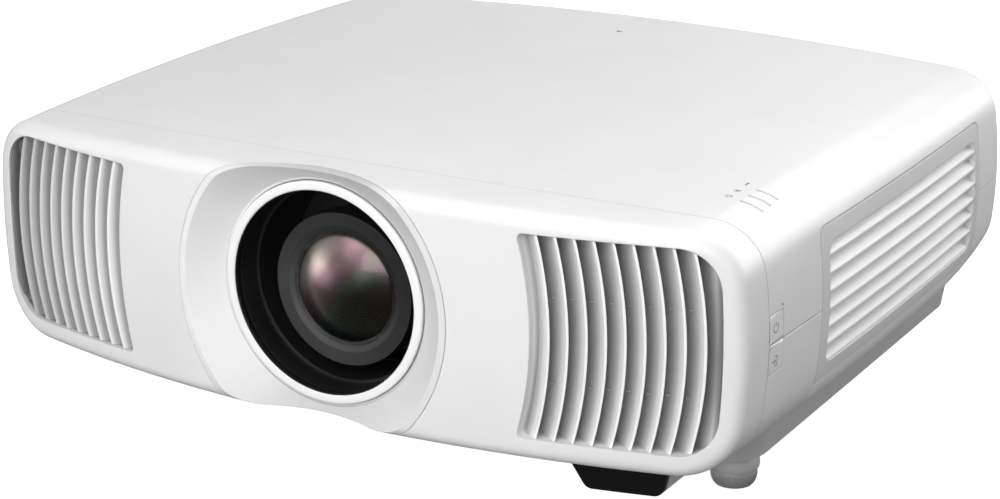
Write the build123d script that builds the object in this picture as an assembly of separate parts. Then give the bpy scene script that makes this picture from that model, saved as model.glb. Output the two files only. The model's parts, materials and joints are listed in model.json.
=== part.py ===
from build123d import *
import math
import os

# Overall size in millimetres: the front faces -Y and the feet stand on z = 0.
width = 520
depth = 447
height = 193
foot_height = 24
tub_height = 18

# Curves of the case.
front_bow_radius = 847
rear_bow_radius = 6000
side_bow_radius = 4400
side_bow_y = 40
side_barrel_radius = 300
side_barrel_rise = 71.5
crown_radius_across = 3700
crown_radius_along = 6000
crown_y = 45
shoulder_radius = 32
keel_radius = 38
front_edge_radius = 9
rear_edge_radius = 16
section_count = 9
section_overrun = 20
tail_start_y = 140
tail_radius = 200

# Walls, seams and fits.
wall = 2.6
tongue_wall = 1.2
tongue_length = 5
seam_gap = 0.5
fit_gap = 0.2
running_gap = 0.4
bezel_depth = 40
seam_bow_radius = 1280
parting_rise = 72

# Front grilles: curved upright blades, swept round the lens.
grille_inner_x = 131
grille_side_margin = 17.5
grille_floor_rise = 14
grille_top_drop = 19.2
grille_inner_bow = 8
grille_outer_bow = 3
grille_outer_corner = 24
grille_inner_corner = 3
grille_collar_wall = 3.5
grille_collar_depth = 12
blade_count = 10
blade_first_x = 150.2
blade_pitch = 10.5
blade_sweep_radius = 217
blade_sweep_angle = 18
blade_recess = 0.4
blade_lip = 1.8
blade_lean = 16.5
blade_reach = 11
blade_hollow = 1.2

# Lens opening: funnel, trim ring and black well.
lens_rise = 71.8
funnel_radius = 86
funnel_inner_radius = 68.2
funnel_depth = 16
funnel_edge = 1.2
funnel_wall = 2.2
ring_seat = 4
ring_stand = 2.5
ring_round = 1.2
well_radius = 60.5
well_wall = 2.1
well_step = 1.6
well_step_depth = 16
well_flange = 2.5
well_flange_thickness = 2.5

# Lens and its shift carriages.
lens_rest_drop = 4
shift_up = 13
shift_down = 5
shift_side = 7.7
lens_frame_depth = 77.5
frame_thickness = 4
frame_half_width = 95
frame_height = 130
frame_clearance = 12.7
lug_height = 6
rod_radius = 3
rod_x = 72
carriage_half_width = 80
carriage_half_height = 48
carriage_thickness = 9
side_rod_radius = 2.5
side_rod_offset = 40
side_lug = 6
plate_half_width = 60
plate_half_height = 46
plate_thickness = 8
hood_depth = 40.5
hood_radius = 46
hood_length = 15
hood_rim = 8
barrel_radius = 34
barrel_wall = 4
barrel_flange = 10
flange_thickness = 4
glass_radius = 32
glass_rise = 5.5
glass_setback = 2
glass_edge = 4
ring_length = 14
ring_wall = 4.6
ridge_height = 3
ridge_length = 2
barrel_tail = 6
motor_radius = 9
motor_length = 22

# Side filter cover with level louvres.
cover_front_y = -91
cover_rear_y = 166
cover_top_drop = 32
cover_inset = 24
cover_corner = 6
cover_ledge = 3.2
window_front_y = -80.5
window_rear_y = 159.5
window_floor_rise = 36
window_top_drop = 42.5
window_corner = 9
window_wall = 2.4
window_depth = 13
louvre_count = 7
louvre_first_drop = 51.4
louvre_pitch = 10.57
louvre_recess = 0.6
louvre_lip = 1.9
louvre_reach = 10.5
louvre_climb = 8.5
louvre_hollow = 0.8
louvre_angle = 4
filter_thickness = 12
filter_margin = 1.5
filter_rim = 4
pleat_count = 22
pleat_thickness = 2

# Side buttons and the status lights on the right shoulder.
button_length = 17
power_height = 16.8
source_height = 17.5
button_depth = 8
button_rim = 2
button_rim_depth = 2.6
button_round = 0.5
press_travel = 1.2
board_thickness = 1.6
switch_size = 6
board_post_radius = 3
light_count = 3
light_first_y = -110.3
light_pitch = 10.4
light_inner_x = 224
light_length = 13.2
light_width = 1.6

# Remote sensors.
sensor_setback = 17
sensor_thickness = 3
sensor_left_x = 152
sensor_right_x = 209
sensor_slant = 11
sensor_slant_right = 4
sensor_corner = 6
rear_sensor_width = 36
rear_sensor_length = 26
rear_sensor_x = 10

# Base tub and feet.
tub_half_width = 232
tub_front_y = -127
tub_rear_y = 218
tub_corner = 32
tub_draft = 9
tub_wall = 2.5
tub_skirt = 16
foot_x = 208
front_foot_y = -92.5
rear_foot_x = 180
rear_foot_y = 130
stud_radius = 4
stud_reach = 17
nut_radius = 10.5
nut_height = 9
foot_collar_radius = 10.5
foot_collar = 4
foot_flange_radius = 14.6
foot_flange = 8
foot_base_radius = 11.5
foot_base_taper = 1.2
foot_groove_count = 24
foot_groove = 0.8
rear_leg_radius = 14
rear_leg_taper = 2
pad_height = 3
mount_spacing_x = 180
mount_spacing_y = 140
mount_y = 30
mount_hole_radius = 2
mount_boss_radius = 6
mount_boss_height = 12
screw_x = 170
screw_ys = (-100, 20, 140)
screw_tower_radius = 6.5
screw_head_radius = 3.2
screw_head_height = 2.2
screw_shank_radius = 1.5
screw_recess = 9

# Rear connectors.
bay_half_width = 130
bay_floor_rise = 37
bay_height = 30
bay_corner = 5
bay_recess = 12
bay_wall = 1.6
bay_flange = 4
port_stand = 1.5
port_wall = 0.7
hdmi_size = (15, 6.2)
usb_size = (14.4, 7.2)
lan_size = (16, 13.6)
serial_size = (31, 12.6)
serial_shell = (17, 14, 8)
hdmi_places = (100, 76)
usb_places = (50, 28)
lan_places = (3,)
serial_places = (-36,)
jack_x = -72
hdmi_tongue = 10.5
usb_tongue = 11.5
port_depth = 15
tongue_height = 1.4
jack_radius = 3.4
jack_hole_radius = 1.75
inlet_x = -185
inlet_size = (27.6, 20)
inlet_wall = 1.8
inlet_flange = 2.5
inlet_depth = 17
inlet_pin = (2, 4)
inlet_pin_places = ((-7, -2), (7, -2), (0, 3))

# Inner assemblies.
post_height = 2
post_x = 171
post_ys = (-110, 20, 140)
chassis_thickness = 2
chassis_half_width = 214
chassis_front_y = -172
chassis_rear_y = 158
fan_size = 92
fan_thickness = 25
fan_bore_gap = 3
fan_hub_radius = 18
fan_blade_count = 7
fan_blade_thickness = 1.6
fan_stator_height = 7
fan_strut = 4
fan_screw_radius = 2.2
fan_root_angle = 42
fan_tip_angle = 28
fan_root_share = 0.95
fan_tip_share = 1.2
bracket_length = 55
engine_half_width = 75
engine_rear_y = 40
engine_height = 92
engine_wall = 4
prism_size = 34
panel_size = (28, 22)
panel_thickness = 2
laser_span_x = (-85, -5)
laser_span_y = (50, 104)
laser_height = 46
fin_count = 9
fin_thickness = 1.5
sink_span_x = (-224, -150)
sink_span_y = (-134, -114)
sink_height = 70
pipe_radius = 4
wheel_radius = 32
wheel_thickness = 1.2
wheel_hub_radius = 11
wheel_motor_radius = 13
wheel_motor_length = 16
wheel_stand_width = 18
supply_span_x = (-228, -112)
supply_span_y = (-100, 60)
supply_height = 74
main_board_half_width = 165
main_board_front_y = 114
main_board_rise = 34
chip_size = (68, 51)
chip_height = 4.8
chip_setback = 17

# Places worked out from the sizes above.
case_bottom = foot_height + tub_height
front_y0 = -depth / 2
front_axis_y = front_y0 + front_bow_radius
rear_axis_y = depth / 2 - rear_bow_radius
thick = wall + fit_gap + tongue_wall
seam_axis_y = front_y0 + bezel_depth + seam_bow_radius
parting_z = case_bottom + parting_rise
lens_z = case_bottom + lens_rise
lens_rest_z = lens_z - lens_rest_drop
lens_reach = math.hypot(max(shift_up - lens_rest_drop, shift_down + lens_rest_drop), shift_side)
frame_window_radius = barrel_radius + lens_reach + frame_clearance
case_floor = case_bottom + thick
chassis_top = case_floor + post_height + chassis_thickness
beyond = 2 * width


def front_y(x):
    return front_axis_y - math.sqrt(front_bow_radius**2 - x**2)


def seam_y(x):
    return seam_axis_y - math.sqrt(seam_bow_radius**2 - x**2)


def rear_y(x):
    return rear_axis_y + math.sqrt(rear_bow_radius**2 - x**2)


def side_x(y, z):
    plan = width / 2 - (y - side_bow_y) ** 2 / (2 * side_bow_radius)
    rise = z - case_bottom - side_barrel_rise
    return plan - side_barrel_radius + math.sqrt(side_barrel_radius**2 - rise**2)


def block(x_span, y_span, z_span):
    spans = (x_span, y_span, z_span)
    middle = [(low + high) / 2 for low, high in spans]
    return Pos(*middle) * Box(*[high - low for low, high in spans])


def rod_x_wise(radius, span, y, z):
    return Pos(sum(span) / 2, y, z) * Rot(0, 90, 0) * Cylinder(radius, span[1] - span[0])


def rod_y_wise(radius, span, x, z):
    return Pos(x, sum(span) / 2, z) * Rot(90, 0, 0) * Cylinder(radius, span[1] - span[0])


def rod_z_wise(radius, span, x, y):
    return Pos(x, y, sum(span) / 2) * Cylinder(radius, span[1] - span[0])


def turned(points, z):
    # A profile of (radius, y) points, turned about a line along Y at height z.
    outline = make_face(Polyline(*points, close=True))
    return Pos(0, 0, z) * revolve(outline, Axis.Y)


def both_sides(shape):
    return shape + mirror(shape, about=Plane.YZ)


def above(z):
    return Pos(0, 0, z + beyond / 2) * Box(beyond, beyond, beyond)


def below(z):
    return Pos(0, 0, z - beyond / 2) * Box(beyond, beyond, beyond)


def behind_bow(radius):
    # Everything behind a curve that runs parallel to the bowed front.
    return Pos(0, front_axis_y, 0) * Cylinder(radius, beyond)


def behind_seam(reach):
    # Everything behind the bezel's seam, moved forward by a reach.
    return Pos(0, seam_axis_y, 0) * Cylinder(seam_bow_radius + reach, beyond)


def front_prism(outline, back_y):
    return extrude(Plane.XZ.offset(-back_y) * outline, back_y - front_y0 + section_overrun)


def side_prism(outline, x_span):
    return extrude(Plane.YZ.offset(x_span[0]) * outline, x_span[1] - x_span[0])


def case_section(y, inset):
    half = side_x(y, case_bottom + side_barrel_rise) - inset
    top = height - (y - crown_y) ** 2 / (2 * crown_radius_along) - inset
    barrel = side_barrel_radius - inset
    crown = crown_radius_across - inset
    middle = case_bottom + side_barrel_rise
    right = Pos(half - barrel, middle) * Rot(0, 0, 180) * Circle(barrel)
    left = Pos(barrel - half, middle) * Circle(barrel)
    cap = Pos(0, top - crown) * Circle(crown)
    low = case_bottom + inset + max(0, y - tail_start_y) ** 2 / (2 * tail_radius)
    floor = Pos(0, low) * Rectangle(beyond, height, align=(Align.CENTER, Align.MIN))
    outline = right & left & cap & floor
    outline = fillet(outline.vertices().group_by(Axis.Y)[-1], shoulder_radius - inset)
    outline = fillet(outline.vertices().group_by(Axis.Y)[0], keel_radius - inset)
    return Plane.XZ.offset(-y) * outline


def case_form(inset):
    # The closed outer form of the case, set in by an even distance.
    run = depth + 2 * section_overrun
    stations = [(i / (section_count - 1) - 0.5) * run for i in range(section_count)]
    form = loft([case_section(y, inset) for y in stations])
    form = form & behind_bow(front_bow_radius - inset)
    form = form & (Pos(0, rear_axis_y, 0) * Cylinder(rear_bow_radius - inset, beyond))
    front = form.faces().sort_by(Axis.Y)[0]
    form = fillet(front.edges(), front_edge_radius - inset)
    rear = form.faces().sort_by(Axis.Y)[-1]
    return fillet(rear.edges(), rear_edge_radius - inset)


outer = case_form(0)
rebate = case_form(wall)
tongue_form = case_form(wall + fit_gap)
cavity = case_form(thick)
inside = case_form(thick + fit_gap)
panel_back = case_form(wall - fit_gap)


# Front grilles.
grille_floor = case_bottom + grille_floor_rise
grille_top = height - grille_top_drop
grille_mid_z = (grille_floor + grille_top) / 2
grille_outer_x = width / 2 - grille_side_margin
grille_back_y = front_y(grille_outer_x) + thick + fit_gap + grille_collar_depth


def grille_outline(grow):
    corner_x = grille_outer_x - grille_outer_bow
    inner = ThreePointArc(
        (grille_inner_x, grille_floor),
        (grille_inner_x + grille_inner_bow, grille_mid_z),
        (grille_inner_x, grille_top),
    )
    outer_edge = ThreePointArc(
        (corner_x, grille_top), (grille_outer_x, grille_mid_z), (corner_x, grille_floor)
    )
    top = Line(inner @ 1, outer_edge @ 0)
    bottom = Line(outer_edge @ 1, inner @ 0)
    outline = make_face([inner, top, outer_edge, bottom])
    outline = fillet(outline.vertices().group_by(Axis.X)[-1], grille_outer_corner)
    outline = fillet(outline.vertices().group_by(Axis.X)[0], grille_inner_corner)
    return offset(outline, grow) if grow else outline


def grille_blade(x):
    # One blade: its section leans back towards the lens, and it is swept on an arc round the lens.
    lip_y = front_y(x) + blade_recess
    back_y = lip_y + blade_reach
    outer_front = (x, lip_y)
    inner_front = (x - blade_lip, lip_y)
    inner_back = (x - blade_lip - blade_lean, back_y)
    outer_back = (x - blade_lean, back_y)
    middle_x = x - blade_lean / 2 + blade_hollow
    middle_y = (lip_y + back_y) / 2 + blade_hollow
    section = make_face(
        [
            Line(outer_front, inner_front),
            ThreePointArc(inner_front, (middle_x - blade_lip, middle_y), inner_back),
            Line(inner_back, outer_back),
            ThreePointArc(outer_back, (middle_x, middle_y), outer_front),
        ]
    )
    axis = Axis((x - blade_sweep_radius, 0, grille_mid_z), (0, 1, 0))
    section = (Pos(0, 0, grille_mid_z) * section).rotate(axis, -blade_sweep_angle)
    return revolve(section, axis, revolution_arc=2 * blade_sweep_angle)


def grille():
    wall_face = behind_bow(front_bow_radius - thick - fit_gap) & inside
    collar = front_prism(grille_outline(grille_collar_wall), grille_back_y)
    collar = collar - front_prism(grille_outline(0), grille_back_y)
    collar = collar & wall_face
    held = front_prism(grille_outline(grille_collar_wall / 2), grille_back_y) & wall_face
    room = held + front_prism(grille_outline(-fit_gap), grille_back_y)
    blades = [grille_blade(blade_first_x + blade_pitch * i) for i in range(blade_count)]
    return collar + [blade & room for blade in blades]


right_grille = grille()


# Lens opening.
funnel_face_y = front_y(funnel_radius)
funnel_slope = funnel_depth / (funnel_radius - funnel_inner_radius)
ring_y = funnel_face_y + funnel_depth
funnel_reach = funnel_radius + section_overrun
funnel_reach_y = ring_y - funnel_slope * (funnel_reach - funnel_inner_radius)
seat_y = ring_y + ring_seat
funnel_back = (funnel_inner_radius + funnel_wall, seat_y + funnel_wall)
well_outer_radius = well_radius + well_wall
frame_y = front_y0 + lens_frame_depth


def lens_surround():
    profile = [
        (funnel_reach, funnel_reach_y),
        (funnel_inner_radius, ring_y),
        (funnel_inner_radius, seat_y),
        (well_outer_radius + fit_gap, seat_y),
        (well_outer_radius + fit_gap, seat_y + funnel_wall),
        funnel_back,
        (funnel_reach, funnel_reach_y + funnel_edge),
    ]
    return turned(profile, lens_z) & outer


def funnel_cut():
    far_y = front_y0 - section_overrun
    profile = [
        (0, far_y),
        (funnel_reach, far_y),
        (funnel_reach, funnel_reach_y + funnel_edge + fit_gap),
        (funnel_back[0] + fit_gap, funnel_back[1] + fit_gap),
        (0, funnel_back[1] + fit_gap),
    ]
    return turned(profile, lens_z)


def lens_trim_ring():
    outline = make_face(
        Polyline(
            (well_radius, ring_y - ring_stand),
            (funnel_inner_radius - fit_gap, ring_y - ring_stand),
            (funnel_inner_radius - fit_gap, seat_y),
            (well_radius, seat_y),
            close=True,
        )
    )
    outline = fillet(outline.vertices().group_by(Axis.Y)[0], ring_round)
    return Pos(0, 0, lens_z) * revolve(outline, Axis.Y)


def lens_well():
    flange_radius = well_outer_radius + well_flange
    flange_y = frame_y - well_flange_thickness
    profile = [
        (well_radius, seat_y),
        (well_outer_radius, seat_y),
        (well_outer_radius, flange_y),
        (flange_radius, flange_y),
        (flange_radius, frame_y),
        (well_radius - well_step, frame_y),
        (well_radius - well_step, seat_y + well_step_depth),
        (well_radius, seat_y + well_step_depth),
    ]
    return turned(profile, lens_z)


# Case mouldings.
cover_top = height - cover_top_drop
cover_inner_x = width / 2 - cover_inset
button_front_y = seam_y(side_x(seam_y(width / 2), parting_z))
button_span_y = (button_front_y + seam_gap / 2, button_front_y + seam_gap / 2 + button_length)
power_span_z = (parting_z + seam_gap / 2, parting_z + power_height)
source_span_z = (parting_z - source_height, parting_z - seam_gap / 2)
button_face_x = side_x(button_span_y[0], parting_z)
button_back_x = button_face_x - button_depth
board_face_x = button_back_x - press_travel - running_gap - switch_size / 2
light_ys = [light_first_y - light_pitch * i for i in range(light_count)]


def cover_block(grow):
    y_span = (cover_front_y - grow, cover_rear_y + grow)
    panel = block((cover_inner_x - grow, width), y_span, (foot_height, cover_top + grow))
    corners = panel.edges().filter_by(Axis.X).group_by(Axis.Z)[-1]
    return fillet(corners, cover_corner + grow)


def cover_opening():
    # The panel drops into a rebate, and its edge rests on a ledge.
    return (cover_block(seam_gap / 2) - rebate) + cover_block(-cover_ledge)


def button_block(z_span, grow, x_span):
    y_span = (button_span_y[0] - grow, button_span_y[1] + grow)
    return block(x_span, y_span, (z_span[0] - grow, z_span[1] + grow))


def button_hole(z_span):
    return button_block(z_span, 0, (button_back_x - button_rim, width))


def button_recess():
    # Clears the buttons' rims behind the wall and the bezel's tongue.
    z_span = (source_span_z[0], power_span_z[1])
    room = button_block(z_span, button_rim + running_gap, (button_back_x - button_rim, width))
    return room & rebate


def board_post(z_span):
    # A post on the wall that carries the board behind the buttons.
    y = button_span_y[1] + button_length / 2
    return rod_x_wise(board_post_radius, (board_face_x, button_face_x - wall), y, sum(z_span) / 2)


def light_slot(y, grow):
    half = light_width / 2 + grow
    x_span = (light_inner_x - grow, light_inner_x + light_length + grow)
    return block(x_span, (y - half, y + half), (parting_z, height))


def rear_sensor_block(grow):
    x_span = (rear_sensor_x - rear_sensor_width / 2 - grow, rear_sensor_x + rear_sensor_width / 2 + grow)
    y_span = (depth / 2 - rear_sensor_length - grow, depth)
    return block(x_span, y_span, (height - rear_edge_radius - grow, beyond))


def front_bezel():
    rim = outer - behind_seam(seam_gap / 2)
    tongue = tongue_form - behind_seam(-tongue_length)
    piece = rim + tongue - cavity - funnel_cut()
    window = front_prism(grille_outline(0), grille_back_y)
    return piece - both_sides(window) - button_recess()


def case_half(form):
    # One half of the case behind the bezel, with room for the bezel's tongue.
    piece = form & behind_seam(-seam_gap / 2)
    piece = piece - cavity
    return piece - (rebate - behind_seam(-tongue_length - seam_gap))


def upper_case():
    piece = case_half(outer & above(parting_z + seam_gap / 2))
    piece = piece - (rebate & below(parting_z + tongue_length + seam_gap))
    piece = piece - cover_opening() - button_hole(power_span_z)
    piece = piece - [light_slot(y, fit_gap) for y in light_ys] + board_post(power_span_z)
    return piece - (rear_sensor_block(fit_gap) - rebate) - button_recess()


bay_floor = case_bottom + bay_floor_rise
bay_mid_z = bay_floor + bay_height / 2
bay_back_y = rear_y(0) - bay_recess
board_z = chassis_top + main_board_rise
inlet_z = bay_mid_z
inlet_y = rear_y(abs(inlet_x) - inlet_size[0] / 2 - inlet_flange)
mount_places = [
    (side * mount_spacing_x / 2, mount_y + end * mount_spacing_y / 2) for side in (-1, 1) for end in (-1, 1)
]
screw_places = [(side * screw_x, y) for side in (-1, 1) for y in screw_ys]
foot_places = [(side * foot_x, front_foot_y) for side in (-1, 1)]
post_places = [(side * post_x, y) for side in (-1, 1) for y in post_ys]


def rear_prism(outline, y_span):
    return extrude(Plane.XZ.offset(-y_span[1]) * outline, y_span[1] - y_span[0])


def bay_outline(grow):
    outline = RectangleRounded(2 * (bay_half_width + grow), bay_height + 2 * grow, bay_corner + grow)
    return Pos(0, bay_mid_z) * outline


def inlet_outline(grow):
    outline = RectangleRounded(inlet_size[0] + 2 * grow, inlet_size[1] + 2 * grow, inlet_flange)
    return Pos(inlet_x, inlet_z) * outline


def lower_case():
    piece = case_half(outer & below(parting_z - seam_gap / 2))
    tongue = tongue_form & below(parting_z + tongue_length) & above(parting_z - 2 * tongue_length)
    tongue = (tongue & behind_seam(-tongue_length - seam_gap)) - cavity
    piece = piece + tongue
    piece = piece - cover_opening() - button_hole(source_span_z) - button_recess()
    piece = piece - rear_prism(bay_outline(0), (bay_back_y, depth))
    piece = piece - rear_prism(inlet_outline(fit_gap), (bay_back_y, depth))
    posts = [
        rod_z_wise(screw_tower_radius, (case_floor - fit_gap, case_floor + post_height), x, y)
        for x, y in post_places
    ]
    holes = [
        rod_z_wise(screw_shank_radius + fit_gap, (case_bottom, case_floor), x, y) for x, y in screw_places
    ]
    return piece + posts + board_post(source_span_z) - holes


# Filter cover on the right side.
window_floor = case_bottom + window_floor_rise
window_top = height - window_top_drop
window_mid = ((window_front_y + window_rear_y) / 2, (window_floor + window_top) / 2)
window_size = (window_rear_y - window_front_y, window_top - window_floor)
window_back_x = width / 2 - thick - window_depth
louvre_axis = Axis((width / 2 - side_bow_radius, side_bow_y, 0), (0, 0, 1))


def window_outline(grow):
    return Pos(*window_mid) * RectangleRounded(
        window_size[0] + 2 * grow, window_size[1] + 2 * grow, window_corner + grow
    )


def cover_louvre(z):
    # One louvre: it falls outwards, so that nothing inside shows from above.
    lip_x = side_x(side_bow_y, z) - louvre_recess
    back_x = lip_x - louvre_reach
    middle_x = (lip_x + back_x) / 2
    middle_z = z + louvre_climb / 2 - louvre_hollow
    section = make_face(
        [
            Line((lip_x, z), (lip_x, z + louvre_lip)),
            ThreePointArc(
                (lip_x, z + louvre_lip),
                (middle_x, middle_z + louvre_lip),
                (back_x, z + louvre_lip + louvre_climb),
            ),
            Line((back_x, z + louvre_lip + louvre_climb), (back_x, z + louvre_climb)),
            ThreePointArc((back_x, z + louvre_climb), (middle_x, middle_z), (lip_x, z)),
        ]
    )
    section = (Plane.XZ.offset(-side_bow_y) * section).rotate(louvre_axis, -louvre_angle)
    return revolve(section, louvre_axis, revolution_arc=2 * louvre_angle)


def filter_cover():
    panel = (cover_block(-seam_gap / 2) & outer) - panel_back
    room = (window_back_x, width)
    panel = panel - side_prism(window_outline(0), room)
    collar = side_prism(window_outline(window_wall), room) - side_prism(window_outline(0), room)
    panel = panel + (collar & outer)
    held = side_prism(window_outline(window_wall / 2), room) & outer
    first = height - louvre_first_drop
    louvres = [cover_louvre(first - louvre_pitch * i) & held for i in range(louvre_count)]
    return panel + louvres


def air_filter():
    # A pleated pad in a rim, clipped behind the louvres.
    front_x = window_back_x - fit_gap
    back_x = front_x - filter_thickness
    rim = side_prism(window_outline(filter_margin), (back_x, front_x))
    rim = rim - side_prism(window_outline(filter_margin - filter_rim), (back_x, front_x))
    y0 = window_front_y - filter_margin + filter_rim
    pitch = (window_size[0] + 2 * (filter_margin - filter_rim)) / pleat_count
    half = filter_thickness / 4
    middle_x = (front_x + back_x) / 2
    upper = [(middle_x + half * (-1) ** i, y0 + pitch * i) for i in range(pleat_count + 1)]
    lower = [(x - pleat_thickness, y) for x, y in reversed(upper)]
    pad = make_face(Polyline(*upper, *lower, close=True))
    tall = window_size[1] + 2 * (filter_margin - filter_rim)
    pad = extrude(Pos(0, 0, window_mid[1] - tall / 2) * pad, tall)
    pad = pad & side_prism(window_outline(filter_margin - filter_rim), (back_x, front_x))
    return rim + pad


# Buttons, their board and the lights.
def side_button(z_span):
    cap = button_block(z_span, -running_gap / 2, (button_back_x, width)) & outer
    cap = fillet(cap.faces().sort_by(Axis.X)[-1].edges(), button_round)
    rim = button_block(z_span, 0, (button_back_x, button_back_x + button_rim_depth))
    return cap + rim


def control_board():
    # A board behind the buttons with one small switch for each.
    x_span = (board_face_x - board_thickness, board_face_x)
    board_y = (button_span_y[0], button_span_y[1] + button_length)
    board = block(x_span, board_y, (source_span_z[0], power_span_z[1]))
    for z_span in (power_span_z, source_span_z):
        middle = (sum(button_span_y) / 2, sum(z_span) / 2)
        y_span = (middle[0] - switch_size / 2, middle[0] + switch_size / 2)
        z_size = (middle[1] - switch_size / 2, middle[1] + switch_size / 2)
        board = board + block((board_face_x, board_face_x + switch_size / 3), y_span, z_size)
        board = board + rod_x_wise(switch_size / 4, (board_face_x, board_face_x + switch_size / 2), *middle)
    return board


def status_light_pipes():
    strips = [light_slot(y, 0) & outer for y in light_ys]
    return Part() + [strip - rebate for strip in strips]


# Remote sensors.
def sensor_outline():
    top = case_bottom
    bottom = foot_height
    outline = make_face(
        Polyline(
            (sensor_left_x, top),
            (sensor_left_x + sensor_slant, bottom),
            (sensor_right_x - sensor_slant_right, bottom),
            (sensor_right_x, top),
            close=True,
        )
    )
    return fillet(outline.vertices().group_by(Axis.Y)[0], sensor_corner)


sensor_radius = front_bow_radius - sensor_setback


def front_sensor_window():
    room = behind_bow(sensor_radius) - behind_bow(sensor_radius - sensor_thickness)
    return (front_prism(sensor_outline(), tub_front_y) & room) - outer


def front_sensor_housing():
    body = front_prism(sensor_outline(), tub_front_y - fit_gap)
    return (body & behind_bow(sensor_radius - sensor_thickness)) - outer


def rear_sensor_cover():
    return (rear_sensor_block(0) & outer) - panel_back


# Base tub and feet.
def tub_outline(grow):
    middle_y = (tub_front_y + tub_rear_y) / 2
    size = (2 * (tub_half_width + grow), tub_rear_y - tub_front_y + 2 * grow)
    return Pos(0, middle_y) * RectangleRounded(*size, tub_corner + grow)


def base_tub():
    body = Pos(0, 0, case_bottom) * extrude(tub_outline(0), -tub_height, taper=tub_draft)
    hollow = Pos(0, 0, case_bottom) * extrude(tub_outline(-tub_wall), tub_wall - tub_height, taper=tub_draft)
    skirt = extrude(tub_outline(0), tub_skirt) - extrude(tub_outline(-tub_wall), tub_skirt)
    tub = (body - hollow) + (Pos(0, 0, case_bottom) * skirt - outer)
    base = foot_height
    towers = [rod_z_wise(screw_tower_radius, (base, case_bottom), x, y) for x, y in screw_places]
    towers += [rod_z_wise(mount_boss_radius, (base, base + mount_boss_height), x, y) for x, y in mount_places]
    tub = tub + towers
    bores = [rod_z_wise(mount_hole_radius, (base, base + mount_boss_height), x, y) for x, y in mount_places]
    bores += [rod_z_wise(stud_radius + running_gap, (base, base + tub_wall), x, y) for x, y in foot_places]
    for x, y in screw_places:
        bores.append(rod_z_wise(screw_head_radius + running_gap, (base, base + screw_recess), x, y))
        bores.append(rod_z_wise(screw_shank_radius + fit_gap, (base, case_bottom), x, y))
    return tub - bores


def case_screws():
    seat = foot_height + screw_recess
    heads = [rod_z_wise(screw_head_radius, (seat - screw_head_height, seat), x, y) for x, y in screw_places]
    shanks = [rod_z_wise(screw_shank_radius, (seat, case_floor), x, y) for x, y in screw_places]
    return Part() + [head + shank for head, shank in zip(heads, shanks)]


def foot_nut(x, y):
    bottom = foot_height + tub_wall
    nut = extrude(Pos(x, y, bottom) * RegularPolygon(nut_radius, 6), nut_height)
    return nut - rod_z_wise(stud_radius + running_gap / 2, (bottom, bottom + nut_height), x, y)


knob_top = foot_height - running_gap


def foot_knob(x, y):
    # The grip under the tub: a collar, a rounded flange and a grooved base.
    flange_top = knob_top - foot_collar
    flange_bottom = flange_top - foot_flange
    outline = make_face(
        Polyline(
            (stud_radius + fit_gap, 0),
            (foot_base_radius - foot_base_taper, 0),
            (foot_base_radius, flange_bottom),
            (foot_flange_radius, flange_bottom),
            (foot_flange_radius, flange_top),
            (foot_collar_radius, flange_top),
            (foot_collar_radius, knob_top),
            (stud_radius + fit_gap, knob_top),
            close=True,
        )
    )
    outline = fillet(outline.vertices().group_by(Axis.X)[-1], foot_flange / 3)
    knob = revolve(Plane.XZ * outline, Axis.Z)
    groove = Pos(foot_base_radius, 0, flange_bottom / 2) * Cylinder(foot_groove, flange_bottom)
    knob = knob - [spot * groove for spot in PolarLocations(0, foot_groove_count)]
    return Pos(x, y, 0) * knob


def foot_stud(x, y):
    return rod_z_wise(stud_radius, (pad_height, foot_height + stud_reach), x, y)


def rear_leg(x, y):
    return Pos(x, y, pad_height) * Cone(
        rear_leg_radius - rear_leg_taper,
        rear_leg_radius,
        foot_height - pad_height,
        align=(Align.CENTER, Align.CENTER, Align.MIN),
    )


def rear_pad(x, y):
    return rod_z_wise(rear_leg_radius - rear_leg_taper, (0, pad_height), x, y)


# Lens, its rings and the shift carriages.
carriage_front_y = frame_y + frame_thickness + running_gap
carriage_y = (carriage_front_y, carriage_front_y + carriage_thickness)
plate_y = (carriage_y[1] + running_gap, carriage_y[1] + running_gap + plate_thickness)
rod_y = sum(carriage_y) / 2
side_rod_y = sum(plate_y) / 2
flange_y = (plate_y[1], plate_y[1] + flange_thickness)
focus_y = (flange_y[1] + running_gap, flange_y[1] + running_gap + ring_length)
ridge_y = (focus_y[1] + running_gap, focus_y[1] + running_gap + ridge_length)
zoom_y = (ridge_y[1] + running_gap, ridge_y[1] + running_gap + ring_length)
tail_y = (zoom_y[1] + running_gap, zoom_y[1] + running_gap + barrel_tail)
hood_y = front_y0 + hood_depth
glass_y = hood_y + glass_setback
frame_top = chassis_top + frame_height


def lens_frame():
    y_span = (frame_y, frame_y + frame_thickness)
    plate = block((-frame_half_width, frame_half_width), y_span, (chassis_top, frame_top))
    plate = plate - rod_y_wise(frame_window_radius, y_span, 0, lens_z)
    for side in (-1, 1):
        x_span = (side * rod_x - 2 * rod_radius, side * rod_x + 2 * rod_radius)
        for z_span in ((chassis_top, chassis_top + lug_height), (frame_top - lug_height, frame_top)):
            lug = block(x_span, (y_span[1], carriage_y[1]), z_span)
            plate = plate + (lug - rod_z_wise(rod_radius + fit_gap, z_span, side * rod_x, rod_y))
    return plate


def upright_rods():
    return both_sides(rod_z_wise(rod_radius, (chassis_top, frame_top), rod_x, rod_y))


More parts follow.
